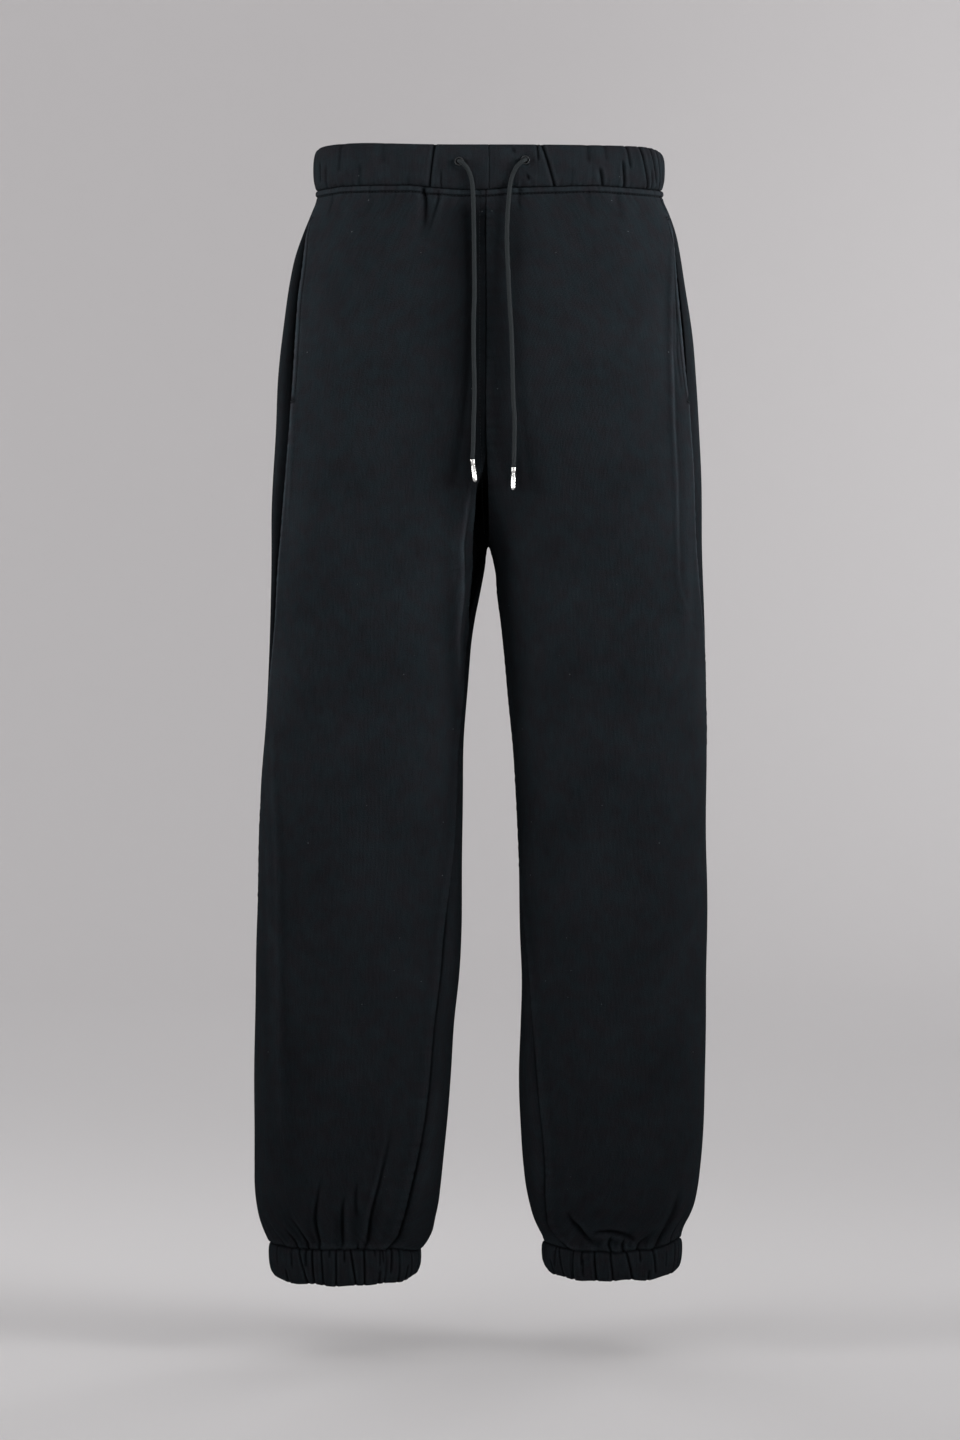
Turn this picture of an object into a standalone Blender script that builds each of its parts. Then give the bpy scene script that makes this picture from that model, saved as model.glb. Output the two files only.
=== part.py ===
"""Jogger sweatpants in heavy brushed fleece, kept in the hollow shape of a worn pair with no wearer.

The garment hangs from its waist. The origin is the middle of the waistband ring, half way up the band.
+Z is up, the front faces -Y, and the wearer's left leg is at +X. Sizes are in metres.
Every cloth piece is a wall between its seams: a front and a back for each leg, a waistband in two halves,
an elastic cuff on each leg, and a pocket bag behind each side seam. The drawcord's two free ends come out
of eyelets in the waistband and end in metal tips.
"""

import math
from collections import namedtuple

import bmesh
import bpy
import numpy as np
from mathutils import Vector
from mathutils.bvhtree import BVHTree

MM = 0.001

# Cloth and seams
WALL = 2.2 * MM
SEAM_GAP = 0.3 * MM
SEAM_STITCH = 6 * MM
CROTCH = -345 * MM
WAIST_SEAM = -19.5 * MM
CUFF_SEAM = -986 * MM
FRONT_DROP = 8.5 * MM
BACK_RISE = 8 * MM
DROP_FADES_OUT = -200 * MM

# The seam allowance that is stitched down under the waist seam shows as a low ridge.
RIDGE_HEIGHT = 0.9 * MM
RIDGE_WIDTH = 6.5 * MM

# Waistband and cuff casings: cloth, elastic and cloth
BAND_TOP = 19.5 * MM
BAND_THICK = 7 * MM
BAND_PUFF = 2.2 * MM
BAND_TAPER = 0.0
CUFF_HEIGHT = {"right": 32 * MM, "left": 28 * MM}
CUFF_THICK = 5.5 * MM
CUFF_PUFF = 1.8 * MM
CUFF_TAPER = 2.6 * MM

# Side pockets, set in the side seams
POCKET_TOP = -46 * MM
POCKET_FOOT = -217 * MM
POCKET_BAG_FOOT = -310 * MM
POCKET_BAG_COLUMN = 5
POCKET_WALL = 1.6 * MM
POCKET_GAP = 0.8 * MM
POCKET_GAPE = {"right": 2.0 * MM, "left": 6.5 * MM}

# Drawcord, its eyelets and its metal tips
CORD_RADIUS = 2.0 * MM
EYELET_HOLE = 2.6 * MM
EYELET_RADIUS = 4.6 * MM
EYELET_RISE = 0.8 * MM
EYELET_DEPTH = 6 * MM
TIP_LENGTH = 20.5 * MM
TIP_RADIUS = 2.1 * MM

# Detail of the faceted solids
COLUMNS = 14
ARC_SAMPLES = 300
TURN = np.linspace(-1.35 * math.pi, 1.35 * math.pi, 2 * ARC_SAMPLES + 1)

# Rows of the leg panels, in millimetres: the height at the inner edge, which is the centre seam and below
# the crotch the inseam, and the height at the side seam. They fan out from the crotch.
Row = namedtuple("Row", "edge side")
ROWS = (
    Row(-55, -55), Row(-86, -86), Row(-125, -125), Row(-168, -172), Row(-210, -222), Row(-246, -268),
    Row(-278, -308), Row(-305, -342), Row(-325, -371), Row(-338, -396), Row(-344, -416), Row(-345, -432),
    Row(-353, -448), Row(-368, -466), Row(-392, -488), Row(-428, -516), Row(-474, -550), Row(-530, -592),
    Row(-595, -640), Row(-662, -692), Row(-730, -745), Row(-795, -800), Row(-850, -850), Row(-890, -890),
)
FOOT_ROWS = (-912, -932, -949, -963, -974, -981)

FLEECE = ("fleece", (0.020, 0.023, 0.026, 1.0), 0.95, 0.0)
POCKETING = ("pocketing", (0.016, 0.018, 0.020, 1.0), 0.95, 0.0)
CORDING = ("cording", (0.050, 0.054, 0.056, 1.0), 0.8, 0.0)
EYELET = ("eyelet", (0.030, 0.032, 0.034, 1.0), 0.45, 0.8)
STEEL = ("steel_tip", (0.62, 0.62, 0.60, 1.0), 0.22, 1.0)

SIDE = {"right": -1.0, "left": 1.0}

# How far each leg's level oval reaches from the centre plane, in millimetres. Above the crotch the oval
# is cut by that plane, and inner is the place beyond it that the oval would reach.
Outline = namedtuple("Outline", "height right_outer right_inner left_outer left_inner")
OUTLINE = (
    Outline(-20, 157.8, -158.0, 158.2, -158.0),
    Outline(-30, 159.0, -160.5, 160.6, -160.5),
    Outline(-38, 162.0, -163.0, 164.2, -163.0),
    Outline(-59, 170.0, -168.0, 171.8, -168.0),
    Outline(-81, 177.2, -171.0, 176.6, -171.0),
    Outline(-103, 181.9, -170.0, 180.3, -170.0),
    Outline(-147, 188.4, -150.0, 186.6, -150.0),
    Outline(-191, 193.2, -121.0, 190.0, -121.0),
    Outline(-235, 195.8, -86.0, 193.2, -86.0),
    Outline(-280, 198.4, -46.0, 195.4, -46.0),
    Outline(-315, 199.5, -18.0, 195.8, -18.0),
    Outline(-345, 199.7, 0.15, 195.9, 0.15),
    Outline(-368, 200.1, 3.6, 196.3, 6.0),
    Outline(-390, 200.6, 7.5, 196.8, 8.4),
    Outline(-412, 201.0, 11.9, 197.3, 11.6),
    Outline(-434, 201.5, 15.4, 197.8, 14.0),
    Outline(-478, 203.4, 19.4, 198.7, 18.6),
    Outline(-522, 205.4, 22.1, 199.6, 22.8),
    Outline(-567, 208.2, 23.0, 199.8, 25.0),
    Outline(-611, 210.6, 24.0, 200.0, 27.2),
    Outline(-699, 212.6, 25.8, 200.4, 28.6),
    Outline(-743, 213.5, 27.8, 199.8, 30.0),
    Outline(-787, 214.5, 32.0, 199.6, 28.6),
    Outline(-832, 215.2, 35.0, 198.6, 27.6),
    Outline(-876, 215.3, 38.2, 196.8, 29.2),
    Outline(-913, 215.0, 42.2, 194.0, 31.6),
    Outline(-935, 214.4, 44.8, 191.6, 34.2),
    Outline(-951, 212.6, 47.0, 188.4, 37.6),
    Outline(-963, 210.2, 49.9, 184.2, 41.0),
    Outline(-974, 206.6, 53.0, 179.6, 45.6),
    Outline(-982, 203.0, 56.8, 177.4, 49.4),
    Outline(-986, 200.8, 60.0, 176.8, 50.4),
)

# Front and back depth from the middle plane, and how square the oval is: 2 is an ellipse.
Depth = namedtuple("Depth", "height front back square")
DEPTH = (
    Depth(-15, 90, 96, 2.20),
    Depth(-30, 93, 103, 2.22),
    Depth(-52, 98, 112, 2.28),
    Depth(-95, 106, 130, 2.36),
    Depth(-145, 111, 144, 2.40),
    Depth(-195, 113, 151, 2.40),
    Depth(-245, 113, 149, 2.40),
    Depth(-295, 111, 139, 2.40),
    Depth(-340, 108, 126, 2.40),
    Depth(-395, 104, 116, 2.40),
    Depth(-495, 99, 106, 2.40),
    Depth(-595, 94, 101, 2.40),
    Depth(-695, 89, 100, 2.40),
    Depth(-795, 85, 99, 2.40),
    Depth(-875, 82, 95, 2.38),
    Depth(-925, 77, 88, 2.34),
    Depth(-955, 69, 77, 2.28),
    Depth(-980, 54, 57, 2.20),
)

# How many degrees each seam has turned from the leg's outermost or innermost line towards the front.
Seams = namedtuple("Seams", "height right_side right_inseam left_side left_inseam")
SEAMS = (
    Seams(-15, 9, 0, 9, 0),
    Seams(-65, 13, 0, 14, 0),
    Seams(-137, 20, 0, 20, 0),
    Seams(-208, 27, 0, 23, 0),
    Seams(-295, 29, 0, 23, 0),
    Seams(-345, 28, 0, 22, 0),
    Seams(-367, 26, 7, 20, 2),
    Seams(-400, 24, 19, 14, 4),
    Seams(-435, 22, 18, 2, 4),
    Seams(-475, 21, 11, -5, 3),
    Seams(-540, 15, 19, -9, 3),
    Seams(-619, 1, 30, -12, 6),
    Seams(-690, -8, 36, -14, 20),
    Seams(-747, -12, 38, -16, 30),
    Seams(-846, -15, 42, -18, 41),
    Seams(-919, -16, 47, -20, 44),
    Seams(-980, -16, 53, -20, 48),
)

# Troughs gathered into a cuff. Angles turn round the leg in degrees from its outermost line, through the
# front at 90 and the inside at 180, or through the back at -90. Heights, depths and widths are millimetres.
Gather = namedtuple("Gather", "leg top_angle top foot_angle depth width")
GATHERS = (
    Gather("right", 12, -945, 36, 3.0, 7),
    Gather("right", 43, -966, 52, 2.6, 6),
    Gather("right", 50, -952, 61, 3.4, 6),
    Gather("right", 74, -925, 70, 4.2, 6),
    Gather("right", 88, -936, 86, 4.0, 6),
    Gather("right", 95, -932, 95, 2.4, 6),
    Gather("right", 112, -905, 102, 4.0, 6),
    Gather("right", 150, -945, 148, 3.0, 7),
    Gather("right", 171, -938, 168, 3.2, 7),
    Gather("left", 10, -948, 16, 2.6, 7),
    Gather("left", 37, -922, 52, 4.0, 7),
    Gather("left", 58, -962, 69, 3.2, 6),
    Gather("left", 78, -960, 80, 3.4, 6),
    Gather("left", 90, -966, 89, 3.0, 6),
    Gather("left", 121, -955, 99, 3.8, 7),
    Gather("left", 116, -940, 114, 2.4, 7),
    Gather("left", 152, -948, 150, 3.0, 7),
    Gather("left", 172, -940, 170, 3.2, 7),
    Gather("right", -12, -938, -10, 3.0, 7),
    Gather("right", -34, -950, -33, 3.0, 6),
    Gather("right", -52, -915, -55, 4.0, 7),
    Gather("right", -80, -946, -76, 3.2, 6),
    Gather("right", -96, -922, -98, 4.0, 7),
    Gather("right", -118, -940, -117, 3.4, 6),
    Gather("right", -141, -912, -138, 3.8, 7),
    Gather("right", -164, -950, -162, 2.8, 7),
    Gather("left", -14, -944, -12, 3.0, 7),
    Gather("left", -36, -918, -38, 3.8, 7),
    Gather("left", -62, -946, -58, 3.0, 6),
    Gather("left", -78, -930, -80, 4.0, 7),
    Gather("left", -104, -950, -101, 2.8, 6),
    Gather("left", -122, -914, -124, 4.0, 7),
    Gather("left", -148, -944, -145, 3.2, 7),
    Gather("left", -168, -936, -166, 3.0, 7),
)

# Soft folds that fade out at both ends, placed as the gathers are. A negative depth is a ridge.
Fold = namedtuple("Fold", "leg top_angle top foot_angle foot depth width")
FOLDS = (
    Fold("right", 70, -12, 75, -75, 2.6, 8),
    Fold("right", 84, -10, 121, -340, 3.6, 24),
    Fold("left", 80, -10, 117, -340, 3.6, 22),
    Fold("left", 22, -24, 42, -480, -3.0, 11),
    Fold("right", 20, -60, 24, -420, -2.0, 10),
    Fold("right", 122, -280, 166, -540, -3.2, 11),
    Fold("right", 24, -500, 54, -950, -2.0, 10),
    Fold("right", -98, -265, -166, -450, 4.0, 28),
    Fold("left", -96, -270, -166, -460, 4.0, 28),
    Fold("right", -62, -560, -150, -690, 3.6, 26),
    Fold("left", -66, -570, -148, -700, 3.6, 26),
    Fold("right", 68, -600, 128, -700, 2.2, 22),
    Fold("left", 72, -590, 130, -680, 2.2, 22),
)

# Gathers of the waistband halves, from the centre front at 0 to the centre back at 1.
Pleat = namedtuple("Pleat", "place lean depth")
WAIST_PLEATS = {
    "right": (
        Pleat(0.105, 0.004, 0.8), Pleat(0.148, -0.004, 1.8), Pleat(0.215, 0.003, 0.6),
        Pleat(0.300, 0.002, 0.8), Pleat(0.350, -0.003, 0.6), Pleat(0.412, 0.006, 1.8),
        Pleat(0.450, 0.004, 1.4), Pleat(0.487, -0.004, 1.7), Pleat(0.532, 0.005, 1.4),
        Pleat(0.580, 0.003, 1.7), Pleat(0.630, -0.005, 1.4), Pleat(0.684, 0.004, 1.7),
        Pleat(0.740, -0.003, 1.3), Pleat(0.792, 0.005, 1.6), Pleat(0.850, -0.004, 1.3),
        Pleat(0.905, 0.003, 1.6), Pleat(0.955, -0.003, 1.2),
    ),
    "left": (
        Pleat(0.110, 0.000, 1.0), Pleat(0.142, 0.014, 2.0), Pleat(0.225, 0.003, 0.6),
        Pleat(0.272, -0.008, 1.2), Pleat(0.318, 0.010, 1.2), Pleat(0.365, 0.010, 1.4),
        Pleat(0.405, 0.008, 1.6), Pleat(0.440, 0.006, 1.6), Pleat(0.476, -0.004, 1.6),
        Pleat(0.520, 0.004, 1.4), Pleat(0.568, -0.004, 1.7), Pleat(0.620, 0.005, 1.4),
        Pleat(0.675, -0.003, 1.6), Pleat(0.735, 0.004, 1.3), Pleat(0.790, -0.004, 1.6),
        Pleat(0.850, 0.003, 1.4), Pleat(0.910, -0.004, 1.6), Pleat(0.958, 0.003, 1.2),
    ),
}
CUFF_PLEATS = 28
CUFF_PLEAT_DEPTH = 1.5

# The drawcord's free ends, in millimetres, from inside each eyelet down the front
DRAWCORD_ROUTE = {
    "left": (
        (32.0, -86.2, -3.4), (32.6, -90.9, -3.1), (32.7, -93.8, -3.1), (31.3, -96.1, -4.1),
        (28.8, -97.0, -6.0), (25.8, -96.8, -8.8), (23.2, -96.0, -12.8), (21.2, -95.2, -17.4),
        (19.3, -94.6, -24.0), (18.2, -95.2, -34.0), (17.5, -96.4, -43.0), (16.8, -98.2, -52.0),
        (16.2, -102.9, -76.5), (17.4, -108.4, -109.0), (18.9, -112.1, -140.7), (20.0, -113.3, -157.0),
        (21.0, -114.4, -189.0), (21.8, -114.8, -221.0), (22.9, -114.9, -237.5), (22.5, -114.7, -268.0),
        (22.0, -114.5, -279.8),
    ),
    "right": (
        (-26.1, -87.0, -4.7), (-26.7, -91.7, -4.4), (-26.8, -94.7, -4.4), (-25.4, -96.8, -5.4),
        (-23.1, -97.5, -7.1), (-20.4, -97.1, -9.9), (-18.0, -96.1, -13.9), (-16.3, -95.4, -18.6),
        (-15.0, -95.0, -24.0), (-14.2, -95.5, -33.0), (-13.9, -96.6, -42.0), (-13.7, -98.3, -52.0),
        (-13.3, -103.3, -76.5), (-13.1, -107.9, -100.0), (-12.9, -111.4, -125.4), (-13.6, -113.3, -149.0),
        (-13.5, -114.5, -181.0), (-12.9, -115.0, -213.0), (-13.6, -115.2, -237.0), (-14.1, -115.0, -262.0),
        (-14.8, -114.8, -272.8),
    ),
}
TIP_FOOT = {"left": (21.4, -114.1, -301.0), "right": (-12.4, -114.4, -292.4)}
EYELET_PLACE = {"left": (32.6, -3.1), "right": (-26.7, -4.4)}


def start_empty():
    """Removes the startup objects and makes the collections."""
    for old in list(bpy.data.objects):
        bpy.data.objects.remove(old, do_unlink=True)
    for name in ("jogger_sweatpants", "cutters"):
        made = bpy.data.collections.new(name)
        bpy.context.scene.collection.children.link(made)


def material(finish):
    name, colour, roughness, metallic = finish
    made = bpy.data.materials.get(name)
    if made is None:
        made = bpy.data.materials.new(name)
        made.use_nodes = True
        shader = made.node_tree.nodes["Principled BSDF"]
        shader.inputs["Base Color"].default_value = colour
        shader.inputs["Roughness"].default_value = roughness
        shader.inputs["Metallic"].default_value = metallic
    return made


def add_object(name, data, finish, collection="jogger_sweatpants"):
    made = bpy.data.objects.new(name, data)
    data.materials.append(material(finish))
    bpy.data.collections[collection].objects.link(made)
    return made


def add_mesh(name, points, faces, finish):
    """A mesh object from an array of points and a list of faces, shaded smooth except at its edges."""
    mesh = bpy.data.meshes.new(name)
    mesh.from_pydata([tuple(p) for p in points], [], faces)
    work = bmesh.new()
    work.from_mesh(mesh)
    bmesh.ops.recalc_face_normals(work, faces=work.faces)
    work.to_mesh(mesh)
    work.free()
    mesh.shade_smooth()
    mesh.set_sharp_from_angle(angle=math.radians(50))
    return add_object(name, mesh, finish)


def smooth(table, column, height):
    """A table's column at any height, on a curve that runs smoothly through the rows."""
    rows = sorted(table)
    at = np.array([row.height for row in rows]) * MM
    value = np.array([getattr(row, column) for row in rows], float)
    slope = np.gradient(value, at)
    height = np.clip(height, at[0], at[-1])
    i = np.clip(np.searchsorted(at, height) - 1, 0, len(at) - 2)
    span = at[i + 1] - at[i]
    t = (height - at[i]) / span
    return (
        value[i] * (1 + 2 * t) * (1 - t) ** 2
        + value[i + 1] * t**2 * (3 - 2 * t)
        + slope[i] * span * t * (1 - t) ** 2
        - slope[i + 1] * span * t**2 * (1 - t)
    )


def ease(t):
    t = np.clip(t, 0.0, 1.0)
    return t * t * (3 - 2 * t)


def signed_power(value, power):
    return np.sign(value) * np.abs(value) ** power


def oval(leg, height, angle):
    """A point of the leg's level oval. The angle turns from the outermost line through the front."""
    outer = smooth(OUTLINE, leg + "_outer", height) * MM
    inner = smooth(OUTLINE, leg + "_inner", height) * MM
    square = smooth(DEPTH, "square", height)
    middle, reach = (outer + inner) / 2, (outer - inner) / 2
    front = smooth(DEPTH, "front", height) * MM
    back = smooth(DEPTH, "back", height) * MM
    x = middle + reach * signed_power(np.cos(angle), 2 / square)
    deep = np.where(np.sin(angle) > 0, front, back)
    y = -deep * signed_power(np.sin(angle), 2 / square)
    fade = 1 - ease(height / DROP_FADES_OUT)
    lift = np.where(y < 0, FRONT_DROP * y / front, BACK_RISE * y / back) * fade
    return np.stack([SIDE[leg] * x, y, height + lift], axis=-1)


def panel_ends(leg, panel, height):
    """The angles of a panel's inner edge and of its side seam at a height."""
    outer = smooth(OUTLINE, leg + "_outer", height) * MM
    inner = smooth(OUTLINE, leg + "_inner", height) * MM
    square = smooth(DEPTH, "square", height)
    share = (outer + inner - SEAM_GAP) / (outer - inner)
    cut = math.acos(np.clip(-signed_power(share, square / 2), -1, 1))
    turn = 0.0
    if height < CROTCH:
        turn = math.radians(max(0.0, smooth(SEAMS, leg + "_inseam", height)))
    side = math.radians(smooth(SEAMS, leg + "_side", height))
    return (cut - turn, side) if panel == "front" else (-cut - turn, side)


def girth(leg, height):
    """The signed distance along level ovals from their outermost line, for each of the TURN angles."""
    line = oval(leg, np.asarray(height)[:, None], TURN)
    steps = np.linalg.norm(np.diff(line, axis=1), axis=2)
    along = np.concatenate([np.zeros((len(line), 1)), np.cumsum(steps, axis=1)], axis=1)
    return along - along[:, ARC_SAMPLES : ARC_SAMPLES + 1]


def distance_at(along, angle):
    """The distance along each oval at an angle."""
    where = (np.asarray(angle) - TURN[0]) / (TURN[1] - TURN[0])
    i = np.floor(where).astype(int)
    row = np.arange(len(along))
    return along[row, i] + (where - i) * (along[row, i + 1] - along[row, i])


def cloth(leg, height, at):
    """Outer points and outward directions of the cloth at heights and distances round the leg."""
    along = girth(leg, height)
    angle = np.array([np.interp(d, row, TURN) for d, row in zip(at, along)])
    step = 0.002
    normal = np.cross(
        oval(leg, height, angle + step) - oval(leg, height, angle - step),
        oval(leg, height + MM, angle) - oval(leg, height - MM, angle),
    )
    normal *= -SIDE[leg] / np.linalg.norm(normal, axis=1)[:, None]
    points = oval(leg, height, angle) + normal * relief(leg, height, at, along)[:, None]
    return points, normal


def trough(distance, width):
    return np.exp(-((distance / width) ** 2))


def relief(leg, height, at, along):
    """How far the cloth stands out from its oval: gathers, soft folds and the ridge at the waist seam."""
    out = np.zeros(len(at))
    for g in GATHERS:
        if g.leg == leg:
            t = np.clip((g.top * MM - height) / (g.top * MM - CUFF_SEAM), 0, 1)
            line = distance_at(along, np.radians(g.top_angle + (g.foot_angle - g.top_angle) * t))
            out -= g.depth * MM * ease(1.5 * t) * trough(at - line, g.width * MM)
    for f in FOLDS:
        if f.leg == leg:
            t = np.clip((f.top * MM - height) / ((f.top - f.foot) * MM), 0, 1)
            line = distance_at(along, np.radians(f.top_angle + (f.foot_angle - f.top_angle) * t))
            out -= f.depth * MM * np.sin(math.pi * t) * trough(at - line, f.width * MM)
    under = WAIST_SEAM - height
    return out + RIDGE_HEIGHT * (1 - ease((under - 0.8 * RIDGE_WIDTH) / (0.35 * RIDGE_WIDTH)))


def pocket_gape(leg, height):
    """How far the front's pocket edge stands back from the side seam at a height."""
    t = (POCKET_TOP - height) / (POCKET_TOP - POCKET_FOOT)
    return POCKET_GAPE[leg] * math.sin(math.pi * t) ** 0.6 if 0 < t < 1 else 0.0


def panel_span(leg, panel, edge, side):
    """The distances round the leg of a row's inner end, at the height edge, and of its side seam end."""
    heights = np.array([edge, side])
    inner, outer = panel_ends(leg, panel, edge)[0], panel_ends(leg, panel, side)[1]
    return distance_at(girth(leg, heights), np.array([inner, outer]))


def panel_row(leg, panel, edge, side, count):
    """A row of a leg panel, from its inner edge to the side seam: its points and outward directions.

    The last column but one runs along the side seam's stitching, a few millimetres from the edge.
    """
    start, end = panel_span(leg, panel, edge, side)
    way = math.copysign(1.0, end - start)
    gape = pocket_gape(leg, side) if panel == "front" else 0.0
    start += way * SEAM_GAP / 2
    end -= way * (SEAM_GAP / 2 + gape)
    places = np.append(np.linspace(0, 1 - SEAM_STITCH / abs(end - start), COLUMNS), 1.0)
    if count > COLUMNS:
        places = np.interp(np.arange(count + 1) / 2, np.arange(COLUMNS + 1), places)
    points, normals = cloth(leg, edge + (side - edge) * places, start + (end - start) * places)
    points[:, 0] = SIDE[leg] * np.maximum(SIDE[leg] * points[:, 0], SEAM_GAP / 2)
    return points, normals


def between_rows(first, first_count, second, second_count):
    """Triangles between two rows of points, the second with as many columns or twice as many.

    All walls are split along the same diagonals, so walls that lie on one another stay parallel.
    """
    faces = []
    if first_count == second_count:
        for i in range(first_count):
            a, b = first + i, second + i
            faces += [(a, a + 1, b + 1), (a, b + 1, b)]
        return faces
    for i in range(first_count):
        a, b = first + i, second + 2 * i
        faces += [(a, b + 1, b), (a, a + 1, b + 1), (a + 1, b + 2, b + 1)]
    return faces


def wall(rows, thick):
    """Points and faces of a closed wall: rows of (points, directions), carried inwards by its thickness.

    The two side edges are split along the same diagonal, so the edges of neighbours run side by side.
    """
    counts = [len(points) - 1 for points, _ in rows]
    starts = np.concatenate([[0], np.cumsum([c + 1 for c in counts])])
    outer = np.concatenate([points for points, _ in rows])
    inner = outer - thick * np.concatenate([normals for _, normals in rows])
    faces = []
    for j in range(len(rows) - 1):
        faces += between_rows(int(starts[j]), counts[j], int(starts[j + 1]), counts[j + 1])
    behind = len(outer)
    faces += [tuple(v + behind for v in reversed(face)) for face in faces]
    for start, count in ((int(starts[0]), counts[0]), (int(starts[-2]), counts[-1])):
        for v in range(start, start + count):
            faces.append((v, v + 1, v + 1 + behind, v + behind))
    for j in range(len(rows) - 1):
        for far in (0, 1):
            upper = int(starts[j]) + far * counts[j]
            lower = int(starts[j + 1]) + far * counts[j + 1]
            faces += [(upper, lower, upper + behind), (lower, lower + behind, upper + behind)]
    return np.concatenate([outer, inner]), faces


def leg_rows():
    """The heights of each row's inner end and side end. The gathered foot's rows have twice the columns."""
    top = WAIST_SEAM - SEAM_GAP
    rows = [(h, h, COLUMNS) for h in (top, top - 0.75 * RIDGE_WIDTH, top - 1.25 * RIDGE_WIDTH)]
    rows += [(row.edge * MM, row.side * MM, COLUMNS) for row in ROWS]
    foot = [h * MM for h in FOOT_ROWS] + [CUFF_SEAM + SEAM_GAP]
    return rows + [(h, h, 2 * COLUMNS) for h in foot]


def leg_panel(leg, panel):
    rows = [panel_row(leg, panel, *row) for row in leg_rows()]
    return add_mesh(f"{panel}_{leg}", *wall(rows, WALL), FLEECE)


def pocket_bag(leg):
    """The pocket bag, made from the front's own points moved in. It shows where the mouth gapes."""
    behind = WALL + POCKET_GAP
    rows = []
    for edge, side, count in leg_rows():
        if POCKET_BAG_FOOT < side < POCKET_TOP:
            points, normals = panel_row(leg, "front", edge, side, count)
            start, end = panel_span(leg, "front", edge, side)
            seam = np.array([end - math.copysign(1.5 * SEAM_GAP, end - start)])
            spot, normal = cloth(leg, np.array([side]), seam)
            points = np.concatenate([points[POCKET_BAG_COLUMN:-1], spot])
            normals = np.concatenate([normals[POCKET_BAG_COLUMN:-1], normal])
            rows.append((points - normals * behind, normals))
    for k, slide in ((-1, 0.75), (-2, 0.3)):
        points, normals = rows[k]
        points[0] += slide * (points[1] - points[0])
        normals[0] = normals[0] + slide * (normals[1] - normals[0])
    return add_mesh(f"pocket_{leg}", *wall(rows, POCKET_WALL), POCKETING)


def casing_profile(top, foot, thick, puff, taper):
    """The closed outline of a folded casing: rounded at its fold, and puffed out between its edges."""
    tall = top - foot
    outer = [
        (puff * math.sin(math.pi * t) ** 0.7 - taper * t, foot + t * tall) for t in (0.0, 0.14, 0.48, 0.78)
    ]
    fold = [
        (-0.16 * thick - taper, top - 0.055 * tall),
        (-0.60 * thick - taper, top),
        (-thick - 0.8 * taper, top - 0.09 * tall),
    ]
    return outer + fold + [(-thick, foot + 0.04 * tall)]


def pleated_columns(pleats, closed):
    """Places of the columns of a gathered band, with their lean and their depth.

    A waistband pleat has four columns, and the many small pleats of a closed cuff have three each.
    """
    shape = (1.0, 0.22, 0.22) if closed else (1.0, 0.30, 0.0, 0.30)
    columns = [] if closed else [Pleat(0.0, 0.0, 0.0), Pleat(pleats[0].place / 2, 0.0, 0.0)]
    turns = list(pleats[1:]) + ([Pleat(pleats[0].place + 1, *pleats[0][1:])] if closed else [])
    for a, b in zip(pleats, turns):
        for k, share in enumerate(shape):
            t = k / len(shape)
            deep = (a if t < 0.6 else b).depth
            columns.append(Pleat(a.place + t * (b.place - a.place), a.lean + t * (b.lean - a.lean), share * deep))
    if not closed:
        last = pleats[-1]
        columns += [last, Pleat((last.place + 1) / 2, 0.0, 0.0), Pleat(1.0, 0.0, 0.0)]
    return columns


def band_solid(path, columns, profile, closed):
    """A casing: its profile carried along a path. path gives points and level outward directions."""
    tall = max(z for _, z in profile) - min(z for _, z in profile)
    foot = min(z for _, z in profile)
    points = []
    for column in columns:
        for k, (out, z) in enumerate(profile):
            share = (z - foot) / tall
            spot, normal = path(column.place + column.lean * (2 * share - 1))
            pinch = column.depth * MM if k < len(profile) - 2 else 0.0
            points.append(spot + normal * (out - pinch) + np.array([0, 0, z]))
    n, m = len(profile), len(columns)
    faces = []
    for i in range(m if closed else m - 1):
        for k in range(n):
            a, b = i * n + k, ((i + 1) % m) * n + k
            c, d = ((i + 1) % m) * n + (k + 1) % n, i * n + (k + 1) % n
            faces.append((a, b, c, d))
    if not closed:
        faces += [tuple(range(n)), tuple((m - 1) * n + k for k in reversed(range(n)))]
    return np.array(points), faces


def whole_line(leg, height):
    """A leg's level line from the inner edge of its front to the inner edge of its back."""
    start, end = (panel_span(leg, panel, height, height)[0] for panel in ("front", "back"))
    at = np.linspace(start, end, 2 * ARC_SAMPLES)
    along = girth(leg, np.array([height]))[0]
    line = oval(leg, height, np.interp(at, along, TURN))
    return line, np.concatenate([[0], np.cumsum(np.linalg.norm(np.diff(line, axis=0), axis=1))])


def half_waist_path(leg):
    """Follows the waist seam from the centre front at 0 to the centre back at 1."""
    line, along = whole_line(leg, WAIST_SEAM)
    line[:, 2] -= WAIST_SEAM

    def path(place):
        at = np.clip(place, 0, 1) * along[-1]
        spot, near, far = (
            np.array([np.interp(at + d, along, line[:, k]) for k in range(3)]) for d in (0, -MM, MM)
        )
        normal = np.cross(far - near, [0, 0, 1]) * SIDE[leg]
        if not 0 < place < 1:
            normal[0] = 0.0
        return spot, normal / np.linalg.norm(normal)

    return path


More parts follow.
